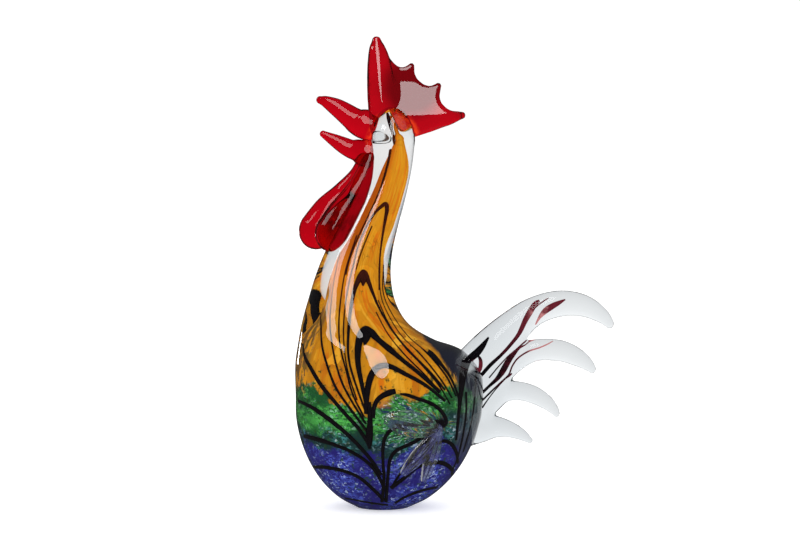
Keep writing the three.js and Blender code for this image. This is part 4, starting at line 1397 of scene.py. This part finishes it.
def wing_strand(tree, tip, side, across, spread, half, standout):
    """One ridge of a lobe: drawn from the hub, out to its own side and in to the tip."""
    hub = np.array(WING_HUB)
    along = np.array(tip) - hub
    sideways = np.array((-along[1], along[0])) / np.linalg.norm(along)
    stations = []
    for share in np.linspace(0, 1, 9):
        out = across * spread * math.sin(math.pi * (0.06 + 0.8 * share))
        x, z = hub + along * share + sideways * out
        swell = 0.35 + 0.8 * math.sin(math.pi * (0.12 + 0.82 * share))
        stations.append((*on_flank(tree, x, z, side), half * swell))
    rows = smooth(stations, 30)
    ways = ways_along(rows[:, [0, 2]])
    rings = [(x, y, z, width, standout, math.atan2(way_x, way_z))
             for (x, y, z, width), (way_x, way_z) in zip(rows, ways)]
    return loft("strand", rounded_off(rings, ways, 4, 5), 20)


class ROOSTER_OT_wings(bpy.types.Operator):
    """Tool the three ridged lobes of the wing on each flank"""

    bl_idname = "rooster.wings"
    bl_label = "Wings"

    def execute(self, context):
        standout = context.scene.glass_sizes.wing_standout / MM
        seat = bpy.data.objects["seat_cutter"]
        tree = tree_of(seat)
        for name, side in (("left_wing", -1), ("right_wing", 1)):
            strands = []
            for tip, count, spread in WING_LOBES:
                for k in range(count):
                    across = 2 * k / (count - 1) - 1
                    height = standout * (1.0 if k % 2 else 0.78)
                    half = 1.25 * spread / (count - 1)
                    strands.append(wing_strand(tree, tip, side, across, spread, half, height))
            piece = melted(joined(strands, name + "_glass"), *WING_MELT)
            cut_by(piece, seat)
            smooth_shaded(piece, FINE_CREASE)
            dressed(piece, "hot_clear", "clear_glass", name)
        return {"FINISHED"}


class ROOSTER_OT_tail(bpy.types.Operator):
    """Pull the clear tail into four feathers, with dark threads inside"""

    bl_idname = "rooster.tail"
    bl_label = "Tail"

    def execute(self, context):
        seat = bpy.data.objects["seat_cutter"]
        parts = [web("tail_web", TAIL_WEB, REAR, context.scene.glass_sizes.tail_depth, 0.002)]
        for rows in FEATHERS:
            depth_of = lambda half: min(FEATHER_DEEPEST, FEATHER_FLATNESS * half)
            parts.append(loft("feather", rod_rings(rows, REAR, 1, depth_of, 40), 32))
        piece = melted(joined(parts, "tail_glass"), *TAIL_MELT)
        cut_by(piece, seat)
        smooth_shaded(piece, BIT_CREASE)
        dressed(piece, "pulled_clear", "clear_glass", "tail")
        _eye, _target, point_at = camera_rays()
        for i, (side, strands) in enumerate(SEEN_TAIL_THREADS, 1):
            y = -side * MM
            lines = []
            for seen in strands:
                places, halves = [], []
                for px, py, width in smooth(seen, 6 * len(seen)):
                    place = point_at(px, py)
                    places.append(Vector((place.x, y, place.z)))
                    halves.append(0.5 * width * MM_PER_PIXEL * MM)
                lines.append(thread("tail_strand", places, halves))
            line = joined(lines, f"tail_line_{i}")
            for vertex in line.data.vertices:
                vertex.co.y = y + 0.5 * (vertex.co.y - y)
            cut_by(line, seat)
            smooth_shaded(line, FINE_CREASE)
            dressed(line, "burgundy_thread", "purple_glass", f"tail_thread_{i}")
        removed(seat)
        return {"FINISHED"}


def soft_light(name, azimuth, elevation, distance, wide, high, radiance, shape="RECTANGLE"):
    """A soft light that looks at the bird from an azimuth and an elevation in degrees.
    Azimuth 0 is the camera's side and 90 the tail's."""
    turn, lift = math.radians(azimuth), math.radians(elevation)
    way = Vector((math.sin(turn) * math.cos(lift), -math.cos(turn) * math.cos(lift),
                  math.sin(lift)))
    light = bpy.data.lights.new(name, "AREA")
    light.shape = shape
    light.size, light.size_y = wide, high
    light.energy = (4 if shape == "RECTANGLE" else math.pi) * radiance * wide * high
    lamp = bpy.data.objects.new(name, light)
    lamp.location = Vector((0, 0, LIGHTS_AIM_AT)) + way * distance
    lamp.rotation_euler = (-way).to_track_quat("-Z", "Y").to_euler()
    lamp.visible_camera = False
    lamp.visible_transmission = False
    bpy.context.scene.collection.objects.link(lamp)
    return lamp


def pale_floor():
    """A wide pale floor that neither glass nor gloss shows."""
    only()
    bpy.ops.mesh.primitive_circle_add(vertices=64, radius=6.0, fill_type="TRIFAN")
    floor = bpy.context.object
    floor.name = "floor"
    material = bare_material("pale_floor")
    paper = shade(material.node_tree, "ShaderNodeBsdfPrincipled",
                  {"Base Color": (0.95, 0.95, 0.95, 1), "Roughness": 0.9,
                   "Specular IOR Level": 0.0, "Emission Color": (1, 1, 1, 1),
                   "Emission Strength": 0.3})
    node(material.node_tree, "ShaderNodeOutputMaterial", {"Surface": paper})
    floor.data.materials.append(material)
    floor.visible_glossy = False
    floor.visible_transmission = False


def backdrop(level):
    """White all round, with a level of its own for what the glass shows of it."""
    world = bpy.data.worlds.new("studio")
    world.use_nodes = True
    tree = world.node_tree
    tree.nodes.clear()
    rays = node(tree, "ShaderNodeLightPath").outputs
    turned_back = Shade(rays["Glossy Depth"]).maths("MINIMUM", 1.0)
    _x, _y, upward = shade(tree, "ShaderNodeTexCoord", output="Generated").parts()
    seen = turned_back * (0.5 - level) + level
    through = seen * (upward.between(-0.5, 0.6) * 0.3 + 0.84)
    strength = 1.1
    for ray, brightness in (("Is Glossy Ray", 0.05), ("Is Transmission Ray", through),
                            ("Is Camera Ray", 1.05)):
        strength = shade(tree, "ShaderNodeMix", {0: Shade(rays[ray]), 2: strength, 3: brightness},
                         data_type="FLOAT")
    light = shade(tree, "ShaderNodeBackground", {"Color": (1, 1, 1, 1), "Strength": strength})
    node(tree, "ShaderNodeOutputWorld", {"Surface": light})
    bpy.context.scene.world = world


class ROOSTER_OT_stage(bpy.types.Operator):
    """Set the pale floor, the soft light and the camera"""

    bl_idname = "rooster.stage"
    bl_label = "Studio"

    def execute(self, context):
        scene = context.scene
        studio = scene.studio
        pale_floor()
        backdrop(studio.backdrop)
        for name, azimuth, elevation in SOFT_LIGHTS:
            lamp = soft_light(name, azimuth, elevation, LIGHT_AWAY, LIGHT_SIZE, LIGHT_SIZE,
                              0.9 * studio.softbox)
            lamp.visible_glossy = False
        for name, azimuth, elevation, wide, high, share, shape in CARDS:
            card = soft_light(name, azimuth, elevation, CARD_AWAY, wide, high,
                              share * studio.card, shape)
            card.visible_diffuse = False

        eye, target, _point_at = camera_rays()
        camera = bpy.data.cameras.new("camera")
        camera.lens = studio.lens
        camera.sensor_width = SENSOR_WIDTH
        camera.clip_end = 50.0
        holder = bpy.data.objects.new("camera", camera)
        holder.location = eye
        holder.rotation_euler = (target - eye).to_track_quat("-Z", "Y").to_euler()
        scene.collection.objects.link(holder)
        scene.camera = holder
        scene.view_settings.view_transform = "Standard"
        return {"FINISHED"}


class ROOSTER_PT_panel(bpy.types.Panel):
    """Lists the rooster's steps"""

    bl_idname = "ROOSTER_PT_panel"
    bl_label = "Glass Rooster"
    bl_space_type = "VIEW_3D"
    bl_region_type = "UI"
    bl_category = "Rooster"

    def draw(self, context):
        for step in STEPS:
            self.layout.operator(step.bl_idname)
        for name, group in GROUPS:
            for setting in group.__annotations__:
                self.layout.prop(getattr(context.scene, name), setting)


GROUPS = (("glass_sizes", GlassSizes), ("glass_colours", GlassColours), ("studio", Studio))
STEPS = (
    ROOSTER_OT_finishes,
    ROOSTER_OT_casing,
    ROOSTER_OT_core,
    ROOSTER_OT_combed_threads,
    ROOSTER_OT_comb,
    ROOSTER_OT_face,
    ROOSTER_OT_eyes,
    ROOSTER_OT_wings,
    ROOSTER_OT_tail,
    ROOSTER_OT_stage,
)


def register():
    for name, group in GROUPS:
        bpy.utils.register_class(group)
        setattr(bpy.types.Scene, name, bpy.props.PointerProperty(type=group))
    for step in STEPS:
        bpy.utils.register_class(step)
    bpy.utils.register_class(ROOSTER_PT_panel)


def unregister():
    bpy.utils.unregister_class(ROOSTER_PT_panel)
    for step in reversed(STEPS):
        bpy.utils.unregister_class(step)
    for name, group in reversed(GROUPS):
        delattr(bpy.types.Scene, name)
        bpy.utils.unregister_class(group)


def main():
    register()
    bpy.ops.rooster.finishes()
    bpy.ops.rooster.casing()
    bpy.ops.rooster.core()
    bpy.ops.rooster.combed_threads()
    bpy.ops.rooster.comb()
    bpy.ops.rooster.face()
    bpy.ops.rooster.eyes()
    bpy.ops.rooster.wings()
    bpy.ops.rooster.tail()
    bpy.ops.rooster.stage()


if __name__ == "__main__":
    main()
